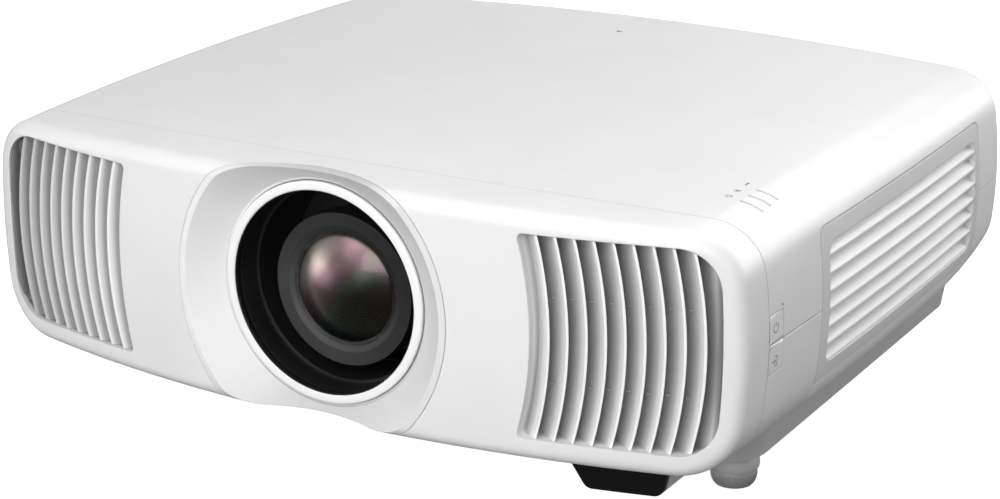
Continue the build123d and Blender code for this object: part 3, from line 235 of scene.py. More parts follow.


# Painted light and shade: grilleWhite, leftGrilleWhite, coverWhite, funnelWhite and ringWhite are
# lighter whites than white_shell, raised part by part for how brightly each part is lit, as painted
# light. Every fade below is painted shade, and funnelWhite's fade also lightens a little past its
# colour, as painted light.
finishes = {
    "white_shell": {"colour": (0.80, 0.80, 0.81), "rough": 0.34, "shade": 0.012, "edge": 0.0011,
                    "grain": 0.05},
    "grilleWhite": {
        "colour": (0.90, 0.90, 0.91), "rough": 0.4, "shade": 0.012, "edge": 0.0005, "grain": 0.05,
        "fades": [behindFront([(0.4, 1.0), (4.4, 1.0), (6.4, 0.85), (8.4, 0.67), (10, 0.6),
                               (13, 0.5)]),
                  inFromSides([(6, 0.13), (9, 0.17), (12.5, 0.5), (15.2, 1.0)])]},
    "leftGrilleWhite": {
        "colour": (0.92, 0.92, 0.93), "rough": 0.4, "shade": 0.012, "edge": 0.0005, "grain": 0.05,
        "fades": [behindFront([(0.4, 1.0), (1.6, 0.97), (3.0, 0.74), (4.4, 0.44), (8, 0.34)]),
                  inFromSides([(14.2, 0.24), (15.2, 0.6), (40, 0.75), (70, 0.9), (100, 1.0)])]},
    "coverWhite": {
        "colour": (0.93, 0.93, 0.94), "rough": 0.36, "shade": 0.012, "edge": 0.0008, "grain": 0.05,
        "fades": [{"centre": (-40, 40, 113.5), "scale": (1, 0.261, 1), "radius": 300, "end": 14,
                   "levels": [(0.25, 0.76), (0.6, 1.0), (8, 1.0), (13, 0.5)]}]},
    "funnelWhite": {
        "colour": (0.84, 0.84, 0.85), "rough": 0.36, "shade": 0.012, "edge": 0.0008, "grain": 0.05,
        "fades": [{"centre": (-90, 0, 125), "scale": (1, 0, 1), "radius": 200, "end": 200,
                   "levels": [(30, 0.9), (70, 0.7), (95, 0.72), (160, 1.02)]}]},
    "ringWhite": {"colour": (0.88, 0.88, 0.89), "rough": 0.26, "shade": 0.01, "grain": 0.03},
    # Painted shade for the fine gap round the trim ring.
    "gapShadeGrey": {"colour": (0.28, 0.28, 0.285), "rough": 0.5, "shade": 0.05},
    "tieGrey": {"colour": (0.4, 0.4, 0.405), "rough": 0.5, "shade": 0.05},
    "grey_shell": {"colour": (0.52, 0.52, 0.53), "rough": 0.42, "edge": 0.0006, "grain": 0.1},
    "footGrey": {
        "colour": (0.52, 0.52, 0.53), "rough": 0.45, "shade": 0.05, "edge": 0.0006, "grain": 0.1,
        "fades": [{"centre": (0, 0, 24), "scale": (0, 0, 1), "radius": 24, "end": 24,
                   "levels": [(0, 0.4), (9.6, 0.66), (10.8, 0.92)]}]},
    "hoodBlack": {
        "colour": (0.042, 0.042, 0.043), "rough": 0.48, "shade": 0.1, "edge": 0.0005,
        "grain": 0.15,
        "fades": [{"centre": (-60, 0, 60), "scale": (1, 0, 1), "radius": 130, "end": 130,
                   "levels": [(10, 0.15), (45, 0.5), (75, 1.0)]}]},
    "black_plastic": {"colour": (0.010, 0.010, 0.011), "rough": 0.4, "shade": 0.2,
                      "edge": 0.0005},
    "dark_window": {"colour": (0.005, 0.005, 0.006), "rough": 0.12, "shade": 0.1,
                    "specular": 0.3, "grain": 0.0},
    "light_pipe": {"colour": (0.50, 0.51, 0.52), "rough": 0.25, "shade": 0.02, "grain": 0.02},
    "lens_glass": {"colour": (0.02, 0.015, 0.03), "rough": 0.04, "shade": 0.2, "grain": 0.0},
    "filter_pad": {"colour": (0.16, 0.16, 0.165), "rough": 0.9, "shade": 0.25,
                   "cloudScale": 900, "grain": 0.6},
    "circuit_board": {"colour": (0.02, 0.13, 0.06), "rough": 0.35, "shade": 0.25,
                      "cloudScale": 300},
    "zinc_steel": {"colour": (0.60, 0.61, 0.62), "rough": 0.32, "metal": 1, "shade": 0.08,
                   "cloudScale": 200},
    "bare_aluminium": {"colour": (0.70, 0.71, 0.72), "rough": 0.4, "metal": 1, "shade": 0.06,
                       "cloudScale": 150},
    "copper_pipe": {"colour": (0.72, 0.36, 0.20), "rough": 0.3, "metal": 1, "shade": 0.12,
                    "cloudScale": 120},
    "psu_case": {"colour": (0.05, 0.05, 0.052), "rough": 0.5, "shade": 0.15},
    "goldPlate": {"colour": (0.83, 0.62, 0.28), "rough": 0.24, "metal": 1, "shade": 0.06,
                  "cloudScale": 500},
    "foot_rubber": {"colour": (0.02, 0.02, 0.02), "rough": 0.8, "shade": 0.2, "grain": 0.3},
}
mats = {slot: moulded(slot, look) for slot, look in finishes.items()}
makeLight()
print("camera and light made")
finishOf = {part["node"]: part["material_slot"] for part in frame["record"]["subparts"]}
finishOf |= {"right_grille": "grilleWhite", "left_grille": "leftGrilleWhite",
             "filter_cover": "coverWhite", "lens_surround": "funnelWhite",
             "lens_barrel": "hoodBlack", "left_foot_knob": "footGrey",
             "right_foot_knob": "footGrey"}
print("finishes made:", len(mats))


# The CAD pieces: welded and smoothed by a node tree, and given their finishes.
cadFinish = {"mergeDistance": 1e-6, "sharpAngle": 28}


def smoothTree():
    tree = bpy.data.node_groups.new("smoothByAngle", "GeometryNodeTree")
    face = tree.interface
    face.new_socket("Geometry", in_out="INPUT", socket_type="NodeSocketGeometry")
    face.new_socket("Merge Distance", in_out="INPUT", socket_type="NodeSocketFloat")
    face.new_socket("Sharp Angle", in_out="INPUT", socket_type="NodeSocketFloat")
    face.new_socket("Geometry", in_out="OUTPUT", socket_type="NodeSocketGeometry")
    start, end = tree.nodes.new("NodeGroupInput"), tree.nodes.new("NodeGroupOutput")
    weld = tree.nodes.new("GeometryNodeMergeByDistance")
    allSmooth = tree.nodes.new("GeometryNodeSetShadeSmooth")
    sharp = tree.nodes.new("GeometryNodeSetShadeSmooth")
    sharp.domain = "EDGE"
    sharp.inputs["Shade Smooth"].default_value = False
    angle = tree.nodes.new("GeometryNodeInputMeshEdgeAngle")
    over = tree.nodes.new("FunctionNodeCompare")
    over.operation = "GREATER_THAN"
    link = tree.links.new
    link(start.outputs["Geometry"], weld.inputs["Geometry"])
    link(start.outputs["Merge Distance"], weld.inputs["Distance"])
    link(weld.outputs["Geometry"], allSmooth.inputs["Geometry"])
    link(allSmooth.outputs["Geometry"], sharp.inputs["Geometry"])
    link(angle.outputs["Unsigned Angle"], over.inputs[0])
    link(start.outputs["Sharp Angle"], over.inputs[1])
    link(over.outputs["Result"], sharp.inputs["Selection"])
    link(sharp.outputs["Geometry"], end.inputs["Geometry"])
    return tree


def socketId(tree, name):
    return next(s.identifier for s in tree.interface.items_tree
                if s.item_type == "SOCKET" and s.in_out == "INPUT" and s.name == name)


smooth = smoothTree()
for name, obj in nodes.items():
    obj.data.materials.clear()
    obj.data.materials.append(mats[finishOf[name]])
    step = obj.modifiers.new("smoothByAngle", "NODES")
    step.node_group = smooth
    step[socketId(smooth, "Merge Distance")] = cadFinish["mergeDistance"]
    step[socketId(smooth, "Sharp Angle")] = math.radians(cadFinish["sharpAngle"])
print("pieces finished:", len(nodes))


# Shared mesh helpers.
def addPiece(name, mesh, mat, body):
    mesh.materials.append(mat)
    made = bpy.data.objects.new(name, mesh)
    bpy.context.scene.collection.objects.link(made)
    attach(made, body)
    return made


def meshFrom(name, build, smoothFaces=True):
    bmesh.ops.recalc_face_normals(build, faces=build.faces)
    for face in build.faces:
        face.smooth = smoothFaces
    mesh = bpy.data.meshes.new(name)
    build.to_mesh(mesh)
    build.free()
    return mesh


def bridge(build, one, two):
    # Faces between two loops. A loop of one point is a pole.
    for k in range(max(len(one), len(two))):
        n = k + 1
        loop = [one[k % len(one)], one[n % len(one)], two[n % len(two)], two[k % len(two)]]
        build.faces.new(list(dict.fromkeys(loop)))


def lathe(name, profile, closed, axisZ, turns=160):
    # Turns (radius, y) pairs in millimetres about an axis that runs front to back.
    build = bmesh.new()
    rings = []
    for radius, y in profile:
        places = circle(turns if radius > 0 else 1)
        rings.append([build.verts.new(point(radius * c, y, axisZ + radius * s)) for c, s in places])
    for one, two in zip(rings, rings[1:]):
        bridge(build, one, two)
    if closed:
        bridge(build, rings[-1], rings[0])
    return meshFrom(name, build)


def cap(radius, edgeY, rise, count=24):
    # A spherical cap's profile, from the axis out to its edge.
    ball = (radius**2 + rise**2) / (2 * rise)
    flat = abs(ball) - abs(rise)
    steps = [radius * k / count for k in range(count + 1)]
    return [(r, edgeY - math.copysign(math.sqrt(ball**2 - r**2) - flat, rise)) for r in steps]


# Lens: front glass, two coated inner glasses with a painted highlight in their tint, and the black
# baffles behind them.
lens = {
    "z": 109.8,
    "front": {"radius": 34.4, "edgeY": -181.8, "rise": 9.0, "rimY": -181.3, "hollow": 8.2},
    "second": {"radius": 32.0, "edgeY": -180.2, "rise": 8.2, "rimY": -177.2, "hollow": -2.0},
    "third": {"radius": 20.0, "edgeY": -137.0, "rise": 7.0, "rimY": -134.0, "hollow": -3.0},
    "baffleBore": 29.8,
    "baffles": [(-158.0, 27.6), (-146.0, 23.4), (-130.0, 19.0)],
    "baffleStep": 2.2,
    "film": (412, 1.3), "glassRough": 0.17, "glassIor": 1.22,
    "smearScale": 60, "smear": [(0.3, (0.97, 0.98, 0.98)), (0.7, (1, 1, 1))],
    "coatRough": 0.3, "coatMetal": 0.95, "coatTilt": (0, 0, 0.12),
    "coatAndHighlightLean": (-0.8, 0, 0.6),  # from the dark lower right to the bright upper left, where the painted highlight lies
    "coatSpread": 16, "coatRange": (-0.5, 0.5),  # shade steps per metre along the lean
    # Tints along the lean: coating colours, with the light rose and cream at the upper end as a
    # painted highlight.
    "coatAndHighlightTones": {
        "second": [(0.10, (0.001, 0.001, 0.001)), (0.34, (0.003, 0.006, 0.004)),
                   (0.45, (0.025, 0.04, 0.025)), (0.55, (0.10, 0.06, 0.075)),
                   (0.72, (0.26, 0.16, 0.18)), (0.90, (0.72, 0.60, 0.54))],
        "third": [(0.2, (0.01, 0.03, 0.015)), (0.7, (0.12, 0.2, 0.12))],
    },
}


def clearGlass():
    mat, tree, shader = newMaterial("clearGlass")
    thickness, filmIor = lens["film"]
    shader.inputs["Roughness"].default_value = lens["glassRough"]
    shader.inputs["IOR"].default_value = lens["glassIor"]
    shader.inputs["Transmission Weight"].default_value = 1
    shader.inputs["Thin Film Thickness"].default_value = thickness
    shader.inputs["Thin Film IOR"].default_value = filmIor
    smear = ramp(tree, noise(tree, lens["smearScale"]), lens["smear"])
    tree.links.new(smear, shader.inputs["Base Color"])
    return mat


def coatedGlassWithHighlight(name, tones):
    # Deep glass whose coating runs from rose at the upper left to green at the lower right. The
    # tints stand for coating colours; as the coat is metallic it reflects the lamps only as
    # brightly as its tint, so the light cream at the upper left and the black at the lower right
    # are a painted highlight and painted shade.
    mat, tree, shader = newMaterial(name)
    where = addNode(tree, "ShaderNodeTexCoord")
    spread = lens["coatSpread"]
    place = addNode(tree, "ShaderNodeMapping", Scale=(spread, 0, spread),
                    Location=(0, 0, -lens["z"] * mm * spread))
    tree.links.new(where.outputs["Object"], place.inputs["Vector"])
    slope = addNode(tree, "ShaderNodeVectorMath", operation="DOT_PRODUCT")
    slope.inputs[1].default_value = lens["coatAndHighlightLean"]
    tree.links.new(place.outputs["Vector"], slope.inputs[0])
    along = addNode(tree, "ShaderNodeMapRange")
    along.inputs["From Min"].default_value = lens["coatRange"][0]
    along.inputs["From Max"].default_value = lens["coatRange"][1]
    tree.links.new(slope.outputs["Value"], along.inputs["Value"])
    tree.links.new(ramp(tree, along.outputs["Result"], tones), shader.inputs["Base Color"])
    shader.inputs["Roughness"].default_value = lens["coatRough"]
    shader.inputs["Metallic"].default_value = lens["coatMetal"]
    lean = addNode(tree, "ShaderNodeVectorMath", operation="ADD")
    lean.inputs[1].default_value = lens["coatTilt"]
    surface = addNode(tree, "ShaderNodeNewGeometry")
    tree.links.new(surface.outputs["Normal"], lean.inputs[0])
    tree.links.new(lean.outputs["Vector"], shader.inputs["Normal"])
    return mat


def glassBody(name, one):
    front = cap(one["radius"], one["edgeY"], one["rise"])
    rear = cap(one["radius"], one["rimY"], one["hollow"])
    return lathe(name, front + rear[::-1], False, lens["z"])


def makeLens():
    glass = addPiece("frontGlass", glassBody("frontGlass", lens["front"]), clearGlass(),
                     "lens")
    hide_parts("front_element")
    for key, tones in lens["coatAndHighlightTones"].items():
        name = key + "Glass"
        addPiece(name, glassBody(name, lens[key]), coatedGlassWithHighlight(key + "Coat", tones),
                 "lens")
    bore, step = lens["baffleBore"], lens["baffleStep"]
    for k, (y, radius) in enumerate(lens["baffles"]):
        name = f"lensBaffle{k}"
        ring = [(bore, y - step), (bore, y + step), (radius, y + step), (radius, y - step / 2)]
        addPiece(name, lathe(name, ring, True, lens["z"]), mats["black_plastic"],
                 "lens")


makeLens()
print("lens made")


# Trim ring round the lens opening, with its black inner lip and the fine gap round it; the gap's
# floor is a grey ring, painted shade for the gap.
trim = {
    "z": 113.8,
    "ring": [(60.95, -201.0), (60.95, -204.15), (61.2, -204.55), (61.7, -204.8), (62.3, -204.88),
             (64.6, -204.88), (65.4, -204.78), (65.9, -204.45), (66.15, -203.9), (66.2, -201.0)],
    "lip": [(60.55, -199.0), (60.55, -203.9), (60.7, -204.15), (60.95, -204.2), (60.98, -199.0)],
    "gap": [(66.2, -201.45), (66.7, -201.85), (66.7, -200.9), (66.2, -200.6)],
    "slope": [(66.6, -201.68), (68.2, -203.12), (68.2, -202.2), (66.6, -200.9)],
}


def makeTrim():
    looks = {"ring": ("ringWhite", "white_shell"), "lip": ("black_plastic", "black_plastic"),
             "gap": ("gapShadeGrey", "white_shell"), "slope": ("funnelWhite", "white_shell")}
    for key, (finish, slot) in looks.items():
        name = "trim" + key.capitalize()
        turned = lathe(name, trim[key], True, trim["z"])
        made = addPiece(name, turned, mats[finish], "case")
        if key == "ring":
            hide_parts("lens_trim_ring")


makeTrim()
print("trim ring made")


# Printed marks: flat outlines laid on the surface that carries them.
inkLayer = {"lift": 0.04, "sink": 0.05, "above": 20}


def surfaceOf(host):
    mesh = nodes[host].data
    corners = [v.co.copy() for v in mesh.vertices]
    return BVHTree.FromPolygons(corners, [list(f.vertices) for f in mesh.polygons])


def markMesh(name, mark):
    finder = surfaceOf(mark["host"])
    right, up = (Vector(axis) for axis in mark["axes"])
    out = right.cross(up)
    start = point(*mark["at"]) + out * inkLayer["above"] * mm
    build = bmesh.new()
    for outline in mark["signs"]:
        upper, lower = [], []
        for u, v in outline:
            hit = finder.ray_cast(start + (right * u + up * v) * mm, -out)[0]
            upper.append(build.verts.new(hit + out * inkLayer["lift"] * mm))
            lower.append(build.verts.new(hit - out * inkLayer["sink"] * mm))
        build.faces.new(upper)
        build.faces.new(lower[::-1])
        bridge(build, lower, upper)
    return meshFrom(name, build, False)


def arc(radius, line, start, stop, count=20):
    turns = [math.radians(start + (stop - start) * k / count) for k in range(count + 1)]
    outer, inner = radius + line / 2, radius - line / 2
    there = [(outer * math.cos(a), outer * math.sin(a)) for a in turns]
    back = [(inner * math.cos(a), inner * math.sin(a)) for a in turns]
    return there + back[::-1]


def bar(x0, y0, x1, y1, line):
    length = math.hypot(x1 - x0, y1 - y0)
    nx, ny = -(y1 - y0) / length * line / 2, (x1 - x0) / length * line / 2
    return [(x0 + nx, y0 + ny), (x1 + nx, y1 + ny), (x1 - nx, y1 - ny), (x0 - nx, y0 - ny)]


def disc(cy, radius, count=24):
    return [(radius * c, cy + radius * s) for c, s in circle(count)]


def powerSign(size, line):
    return [arc(size, line, 125, 415), bar(0, size * 0.25, 0, size * 1.3, line)]


def sourceSign(size, line):
    box = [bar(-size * 0.1, size, size, size, line), bar(size, size, size, -size, line),
           bar(size, -size, -size * 0.1, -size, line)]
    tip = size * 0.3
    arrow = [bar(-size * 1.3, 0, tip, 0, line), bar(-size * 0.25, size * 0.5, tip, 0, line),
             bar(-size * 0.25, -size * 0.5, tip, 0, line)]
    return box + arrow


def heatSign(size, line):
    return [disc(-size * 0.7, size * 0.42), bar(0, -size * 0.7, 0, size, line * 1.3)]


def lampSign(size, line):
    near = size * 0.62
    rays = [bar(c * near, s * near, c * size, s * size, line * 0.8) for c, s in circle(8)]
    return [disc(0, size * 0.4)] + rays


def middle(node):
    low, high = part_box(node)
    return (low + high) / 2 / mm


keyFace = 262  # well outside the side wall, the marks are dropped onto it
powerAt, sourceAt = middle("power_button"), middle("source_button")
sideAxes = ((0, 1, 0), (0, 0, 1))
topAxes = ((-1, 0, 0), (0, -1, 0))
marks = {
    "powerMark": {"signs": powerSign(2.7, 0.5), "at": (keyFace, powerAt.y - 1.2, powerAt.z),
                  "axes": sideAxes, "host": "power_button", "body": "power_key"},
    "sourceMark": {"signs": sourceSign(2.6, 0.5),
                   "at": (keyFace, sourceAt.y - 1.2, sourceAt.z - 2),
                   "axes": sideAxes, "host": "source_button", "body": "source_key"},
    "heatMark": {"signs": heatSign(2.1, 0.7), "at": (216, -104.4, 186),
                 "axes": topAxes, "host": "upper_case", "body": "case"},
    "lampMark": {"signs": lampSign(2.2, 0.65), "at": (216.2, -117.2, 186),
                 "axes": topAxes, "host": "upper_case", "body": "case"},
    "standbyMark": {"signs": powerSign(1.7, 0.6), "at": (215.8, -127.9, 186),
                    "axes": topAxes, "host": "upper_case", "body": "case"},
    "pinhole": {"signs": [disc(0, 0.7)], "at": (keyFace, -141.8, 133.2),
                "axes": sideAxes, "host": "upper_case", "body": "case"},
    "rearArrow": {"signs": [[(-2.6, -1.4), (2.6, -1.4), (0, 2.6)]], "at": (1.5, 158, 195),
                  "axes": topAxes, "host": "upper_case", "body": "case"},
}
ink = moulded("greyInk", {"colour": (0.16, 0.16, 0.165), "rough": 0.55, "shade": 0.1,
                          "cloudScale": 400, "grain": 0.05})
for name, mark in marks.items():
    addPiece(name, markMesh(name, mark), ink, mark["body"])
print("marks made:", len(marks))


# What repeats: an item set on points by one node tree, then kept as a plain mesh.
repeatSeed = 7


def repeatTree():
    tree = bpy.data.node_groups.new("repeatItem", "GeometryNodeTree")
    inputs = {"Geometry": "Geometry", "Item": "Object", "Least Turn": "Vector",
              "Most Turn": "Vector", "Seed": "Int", "Finish": "Material"}
    for name, kind in inputs.items():
        tree.interface.new_socket(name, in_out="INPUT", socket_type="NodeSocket" + kind)
    tree.interface.new_socket("Geometry", in_out="OUTPUT", socket_type="NodeSocketGeometry")
    start, end = tree.nodes.new("NodeGroupInput"), tree.nodes.new("NodeGroupOutput")
    item = tree.nodes.new("GeometryNodeObjectInfo")
    turn = tree.nodes.new("FunctionNodeRandomValue")
    turn.data_type = "FLOAT_VECTOR"
    place = tree.nodes.new("GeometryNodeInstanceOnPoints")
    solid = tree.nodes.new("GeometryNodeRealizeInstances")
    paint = tree.nodes.new("GeometryNodeSetMaterial")
    link = tree.links.new
    link(start.outputs["Item"], item.inputs["Object"])
    link(start.outputs["Least Turn"], turn.inputs[0])
    link(start.outputs["Most Turn"], turn.inputs[1])
    link(start.outputs["Seed"], turn.inputs["Seed"])
    link(start.outputs["Geometry"], place.inputs["Points"])
    link(item.outputs["Geometry"], place.inputs["Instance"])
    link(turn.outputs[0], place.inputs["Rotation"])
    link(place.outputs["Instances"], solid.inputs["Geometry"])
    link(solid.outputs["Geometry"], paint.inputs["Geometry"])
    link(start.outputs["Finish"], paint.inputs["Material"])
    link(paint.outputs["Geometry"], end.inputs["Geometry"])
    return tree


repeat = repeatTree()


def repeated(name, item, places, finish, turn=(0, 0, 0), loose=(0, 0, 0)):
    source = bpy.data.objects.new(name + "Item", item)
    dots = bpy.data.meshes.new(name + "Dots")
    dots.from_pydata([point(*place) for place in places], [], [])
    host = bpy.data.objects.new(name + "Host", dots)
    for obj in (source, host):
        bpy.context.scene.collection.objects.link(obj)
    step = host.modifiers.new("repeatItem", "NODES")
    step.node_group = repeat
    values = {"Item": source, "Seed": repeatSeed, "Finish": mats[finish],
              "Least Turn": [math.radians(a) for a in turn],
              "Most Turn": [math.radians(a + b) for a, b in zip(turn, loose)]}
    for key, value in values.items():
        step[socketId(repeat, key)] = value
    bpy.context.view_layer.update()
    depsgraph = bpy.context.evaluated_depsgraph_get()
    made = bpy.data.meshes.new_from_object(host.evaluated_get(depsgraph))
    made.name = name
    made.materials.clear()
    for obj in (host, source):
        bpy.data.objects.remove(obj)
    return addPiece(name, made, mats[finish], "case")


def prism(name, outline, wide):
    # A (y, z) outline in millimetres drawn out along x about the origin.
    build = bmesh.new()
    near, far = ([build.verts.new(point(x, y, z)) for y, z in outline]
                 for x in (-wide / 2, wide / 2))
    build.faces.new(near)
    build.faces.new(far[::-1])
    bridge(build, near, far)
    return meshFrom(name, build, False)


# Screws under the base. The head's profile is in shares of its radius and height.
screws = {"places": [(x, y, 33) for x in (-170, 170) for y in (-100, 20, 140)], "count": 40,
          "head": 3.2, "tall": 2.2, "profile": [(1, 0), (1, 0.5), (0.93, 0.82), (0.8, 1)],
          "shank": 1.5, "length": 13, "slot": 0.8, "recess": 1.9, "taper": 0.8, "floor": 0.45}


def crossScrew(name):
    # A pan-head screw along y, its head at the front, with a cross cut into the head.
    build = bmesh.new()
    tall = screws["tall"]
    section = [(screws["shank"], screws["length"]), (screws["shank"], 0)]
    section += [(screws["head"] * wide, -tall * high) for wide, high in screws["profile"]]
    rings = [[build.verts.new(point(radius * c, y, radius * s)) for c, s in circle(screws["count"])]
             for radius, y in section]
    for one, two in zip(rings, rings[1:]):
        bridge(build, one, two)
    build.faces.new(rings[0][::-1])
    a, b = screws["slot"] / 2, screws["recess"]
    cross = [(a, a), (a, b), (-a, b), (-a, a), (-b, a), (-b, -a),
             (-a, -a), (-a, -b), (a, -b), (a, -a), (b, -a), (b, a)]
    taper, floorY = screws["taper"], -tall * screws["floor"]
    mouth = [build.verts.new(point(x, -tall, z)) for x, z in cross]
    base = [build.verts.new(point(x * taper, floorY, z * taper)) for x, z in cross]
    bridge(build, mouth, base)
    build.faces.new(base)
    rim = [e for e in build.edges if len(e.link_faces) == 1]
    bmesh.ops.triangle_fill(build, use_beauty=True, edges=rim)
    return meshFrom(name, build, False)


def makeScrews():
    made = repeated("crossScrews", crossScrew("screwItem"), screws["places"], "zinc_steel",
                    (90, 0, 0), (0, 0, 90))
    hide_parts("case_screws")


# Contacts inside the rear sockets. They lie in the sockets' mouths, which open to the rear.
sockets = {
    "blade": {"under": 0.06, "over": 0.1, "nose": (0.4, 0.02)},
    "hdmi": {"xs": (100, 76), "y": 212.9, "pitch": 1.0, "wide": 0.35, "long": 6.0,
             "rows": [(10, 89.4, 0), (9, 88.0, 180)]},
    "usb": {"xs": (50, 28), "y": 212.7, "pitch": 2.5, "wide": 1.2, "long": 8.0,
            "rows": [(4, 88.5, 180)]},
    "lan": {"x": 3, "y": 213.0, "z": 98.55, "count": 8, "pitch": 1.27, "wide": 0.45,
            "spring": [(0, 0), (0, -0.5), (-2.2, -1.4), (-8.6, -5.2), (-10.2, -5.5),
                       (-10.2, -5.1), (-8.8, -4.8), (-2.4, -0.9), (-1.4, 0)]},
    "serial": {"x": -36, "z": 91.9, "face": 216.1, "pitch": 2.77, "rows": [(5, 1.42), (4, -1.42)],
               "shell": [(-8.5, 4), (8.5, 4), (7, -4), (-7, -4)], "round": 1.4,
               "rim": (0.05, 0.55), "stand": 0.35, "seat": 0.1, "postX": 12.5, "postY": 211.25,
               "cup": [(0, -0.6), (0.42, -0.6), (0.42, 0.12), (0.78, 0.12), (0.84, 0.06),
                       (0.84, -0.8), (0, -0.8)], "cupTurns": 20,
               "post": [(0, 1.5), (1.2, 1.5), (1.2, 5.05), (2.2, 5.05), (2.6, 4.7), (2.6, 0),
                        (0, 0)], "postTurns": 6},
    "mains": {"x": -185, "y": 203.2, "z": 94, "pins": [(-7, -2), (7, -2), (0, 3)],
              "long": 16.15, "wide": 2.12, "half": 2.06, "tip": 0.7, "tipHalf": 1.5},
}


def rowOf(count, pitch):
    return [(k - (count - 1) / 2) * pitch for k in range(count)]


def makeContacts():
    under, over = sockets["blade"]["under"], sockets["blade"]["over"]
    noseLong, noseOver = sockets["blade"]["nose"]
    for kind in ("hdmi", "usb"):
        one = sockets[kind]
        shape = [(0, -under), (0, noseOver), (-noseLong, over), (-one["long"], over),
                 (-one["long"], -under)]
        for row, (count, z, roll) in enumerate(one["rows"]):
            places = [(x + dx, one["y"], z)
                      for x in one["xs"] for dx in rowOf(count, one["pitch"])]
            item = prism(f"{kind}Contact{row}", shape, one["wide"])
            repeated(f"{kind}Contacts{row}", item, places, "goldPlate", (0, roll, 0))
    lan = sockets["lan"]
    places = [(lan["x"] + dx, lan["y"], lan["z"]) for dx in rowOf(lan["count"], lan["pitch"])]
    repeated("lanContacts", prism("lanContact", lan["spring"], lan["wide"]), places,
             "goldPlate")


def rounded(corners, radius, count=6):
    # The outline with each corner turned into an arc of short chords.
    out = []
    for k, here in enumerate(corners):
        here = Vector(here)
        back = (Vector(corners[k - 1]) - here).normalized()
        ahead = (Vector(corners[(k + 1) % len(corners)]) - here).normalized()
        half = back.angle(ahead) / 2
        hub = here + (back + ahead).normalized() * radius / math.sin(half)
        first = here + back * radius / math.tan(half) - hub
        last = here + ahead * radius / math.tan(half) - hub
        out += [hub + first.slerp(last, j / count).normalized() * radius for j in range(count + 1)]
    return out


def widened(reach, grow):
    # A distance from the middle, grown outwards, and less so close to the middle.
    return reach + math.copysign(grow, reach) * min(1, abs(reach))


def makeSerialRim():
    one = sockets["serial"]
    outline = rounded(one["shell"], one["round"])
    hub = sum(outline, Vector((0, 0))) / len(outline)
    inner, outer = one["rim"]
    front = one["face"] + one["stand"]
    section = [(inner, one["postY"] + one["seat"]), (inner, front), (outer, front),
               (outer, one["face"] - one["seat"])]
    build = bmesh.new()
    loops = []
    for grow, y in section:
        reach = [(widened(v.x - hub.x, grow), widened(v.y - hub.y, grow)) for v in outline]
        loops.append([build.verts.new(point(one["x"] + hub.x + u, y, one["z"] + hub.y + v))
                      for u, v in reach])
    for a, b in zip(loops, loops[1:] + loops[:1]):
        bridge(build, a, b)
    addPiece("serialRim", meshFrom("serialRim", build, False), mats["zinc_steel"],
             "case")


def makeSerial():
    makeSerialRim()
    one = sockets["serial"]
    places = [(one["x"] + dx, one["face"], one["z"] + dz)
              for count, dz in one["rows"] for dx in rowOf(count, one["pitch"])]
    cup = lathe("serialCup", one["cup"], False, 0, one["cupTurns"])
    repeated("serialCups", cup, places, "goldPlate")
    places = [(one["x"] + side * one["postX"], one["postY"], one["z"]) for side in (-1, 1)]
    post = lathe("serialPost", one["post"], False, 0, one["postTurns"])
    repeated("serialPosts", post, places, "zinc_steel")


def makeMains():
    pin = sockets["mains"]
    half, tipHalf, tipY = pin["half"], pin["tipHalf"], pin["long"] + pin["tip"]
    shape = [(0, -half), (0, half), (pin["long"], half), (tipY, tipHalf), (tipY, -tipHalf),
             (pin["long"], -half)]
    places = [(pin["x"] + x, pin["y"], pin["z"] + z) for x, z in pin["pins"]]
    repeated("mainsPins", prism("mainsPin", shape, pin["wide"]), places,
             "zinc_steel")


# Short bars that tie the grille blades together behind their lips, in two rows.
ties = {"rows": (136.1, 86.6), "firstLip": 150.2, "pitch": 10.5, "count": 8, "lipBow": 217,
        "lipBowZ": 114.9, "behindLip": -9.4, "sink": 8.9, "wide": 7.8, "lean": 10,
        "shape": [(-0.5, -0.4), (0.5, -0.55), (0.5, 0.55), (-0.5, 0.4)]}


def makeTies():
    for side, name in ((1, "right"), (-1, "left")):
        places = []
        for z in ties["rows"]:
            shift = -ties["lipBow"] + math.sqrt(ties["lipBow"]**2 - (z - ties["lipBowZ"])**2)
            for k in range(1, ties["count"] + 1):
                lip = ties["firstLip"] + ties["pitch"] * k + shift
                y = bow["y"] - math.sqrt(bow["radius"]**2 - lip**2) + ties["sink"]
                places.append((side * (lip + ties["behindLip"]), y, z))
        item = prism(name + "GrilleTie", ties["shape"], ties["wide"])
        repeated(name + "GrilleTies", item, places, "tieGrey",
                 (0, 0, side * ties["lean"]))


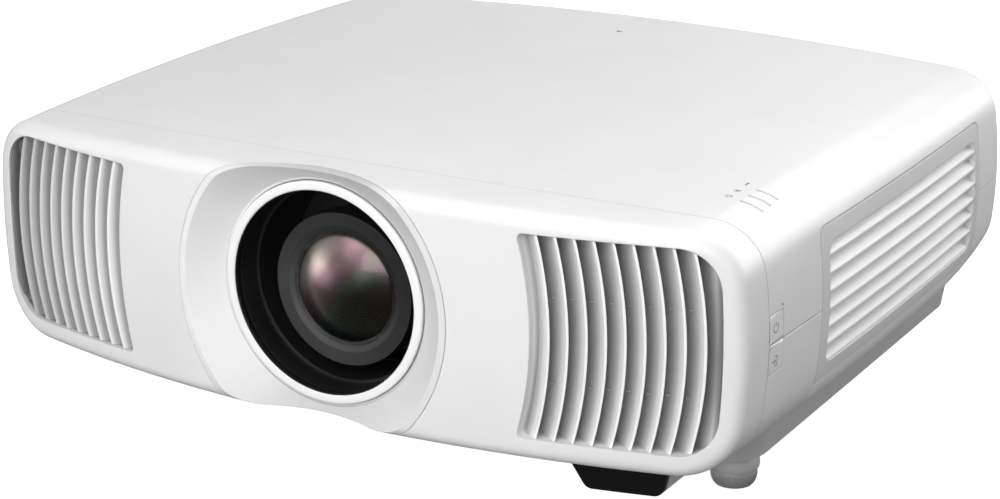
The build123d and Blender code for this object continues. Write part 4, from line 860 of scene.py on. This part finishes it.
# Turning front feet: a rounded flange over a dished grip with fine ridges.
feet = {"x": 208, "y": -92.5, "turns": 192, "ridges": 48, "ridge": 0.28, "ridged": (1.0, 9.0),
        "profile": [(4.3, 0), (9.6, 0), (11.2, 0.5), (12.6, 2.2), (13.5, 5.0), (13.8, 7.6),
                    (13.5, 9.2), (12.9, 9.8), (12.9, 10.5), (14.2, 10.8), (14.8, 11.8),
                    (15.0, 13.6), (14.8, 16.0), (14.0, 18.0), (12.4, 19.4), (10.5, 20.0),
                    (10.5, 23.6), (4.3, 23.6)]}


def makeFeet():
    low, high = feet["ridged"]
    for side, name in ((-1, "left"), (1, "right")):
        build = bmesh.new()
        rings = []
        for radius, z in feet["profile"]:
            ring = []
            for k in range(feet["turns"]):
                angle = k * math.tau / feet["turns"]
                groove = feet["ridge"] * (1 - math.cos(angle * feet["ridges"]))
                reach = radius - (groove if low < z < high else 0)
                x = side * feet["x"] + reach * math.cos(angle)
                y = feet["y"] + reach * math.sin(angle)
                ring.append(build.verts.new(point(x, y, z)))
            rings.append(ring)
        for one, two in zip(rings, rings[1:] + rings[:1]):
            bridge(build, one, two)
        made = addPiece(name + "Grip", meshFrom(name + "Grip", build), mats["footGrey"],
                        name + "_knob")
        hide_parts(name + "_foot_knob")


makeFeet()
makeScrews()
makeContacts()
makeSerial()
makeMains()
makeTies()
print("repeated items made")


# Floor.
floor = {"size": 12.0, "drop": 0.0002, "glow": 0.85,
         "look": {"colour": (0.93, 0.93, 0.93), "rough": 0.9, "shade": 0.005, "cloudScale": 4,
                  "grain": 0.0}}


def makeFloor():
    half = floor["size"] / 2
    corners = [(-half, -half, 0), (half, -half, 0), (half, half, 0), (-half, half, 0)]
    mesh = bpy.data.meshes.new("floor")
    mesh.from_pydata(corners, [], [(0, 1, 2, 3)])
    pale = moulded("paleFloor", floor["look"])
    shader = pale.node_tree.nodes["Principled BSDF"]
    shader.inputs["Emission Color"].default_value = (1, 1, 1, 1)
    shader.inputs["Emission Strength"].default_value = floor["glow"]
    mesh.materials.append(pale)
    made = bpy.data.objects.new("floor", mesh)
    made.location.z = -floor["drop"]
    # The floor's bounce is kept off the case.
    made.visible_diffuse = made.visible_glossy = made.visible_transmission = False
    bpy.context.scene.collection.objects.link(made)


makeFloor()
print("floor made")
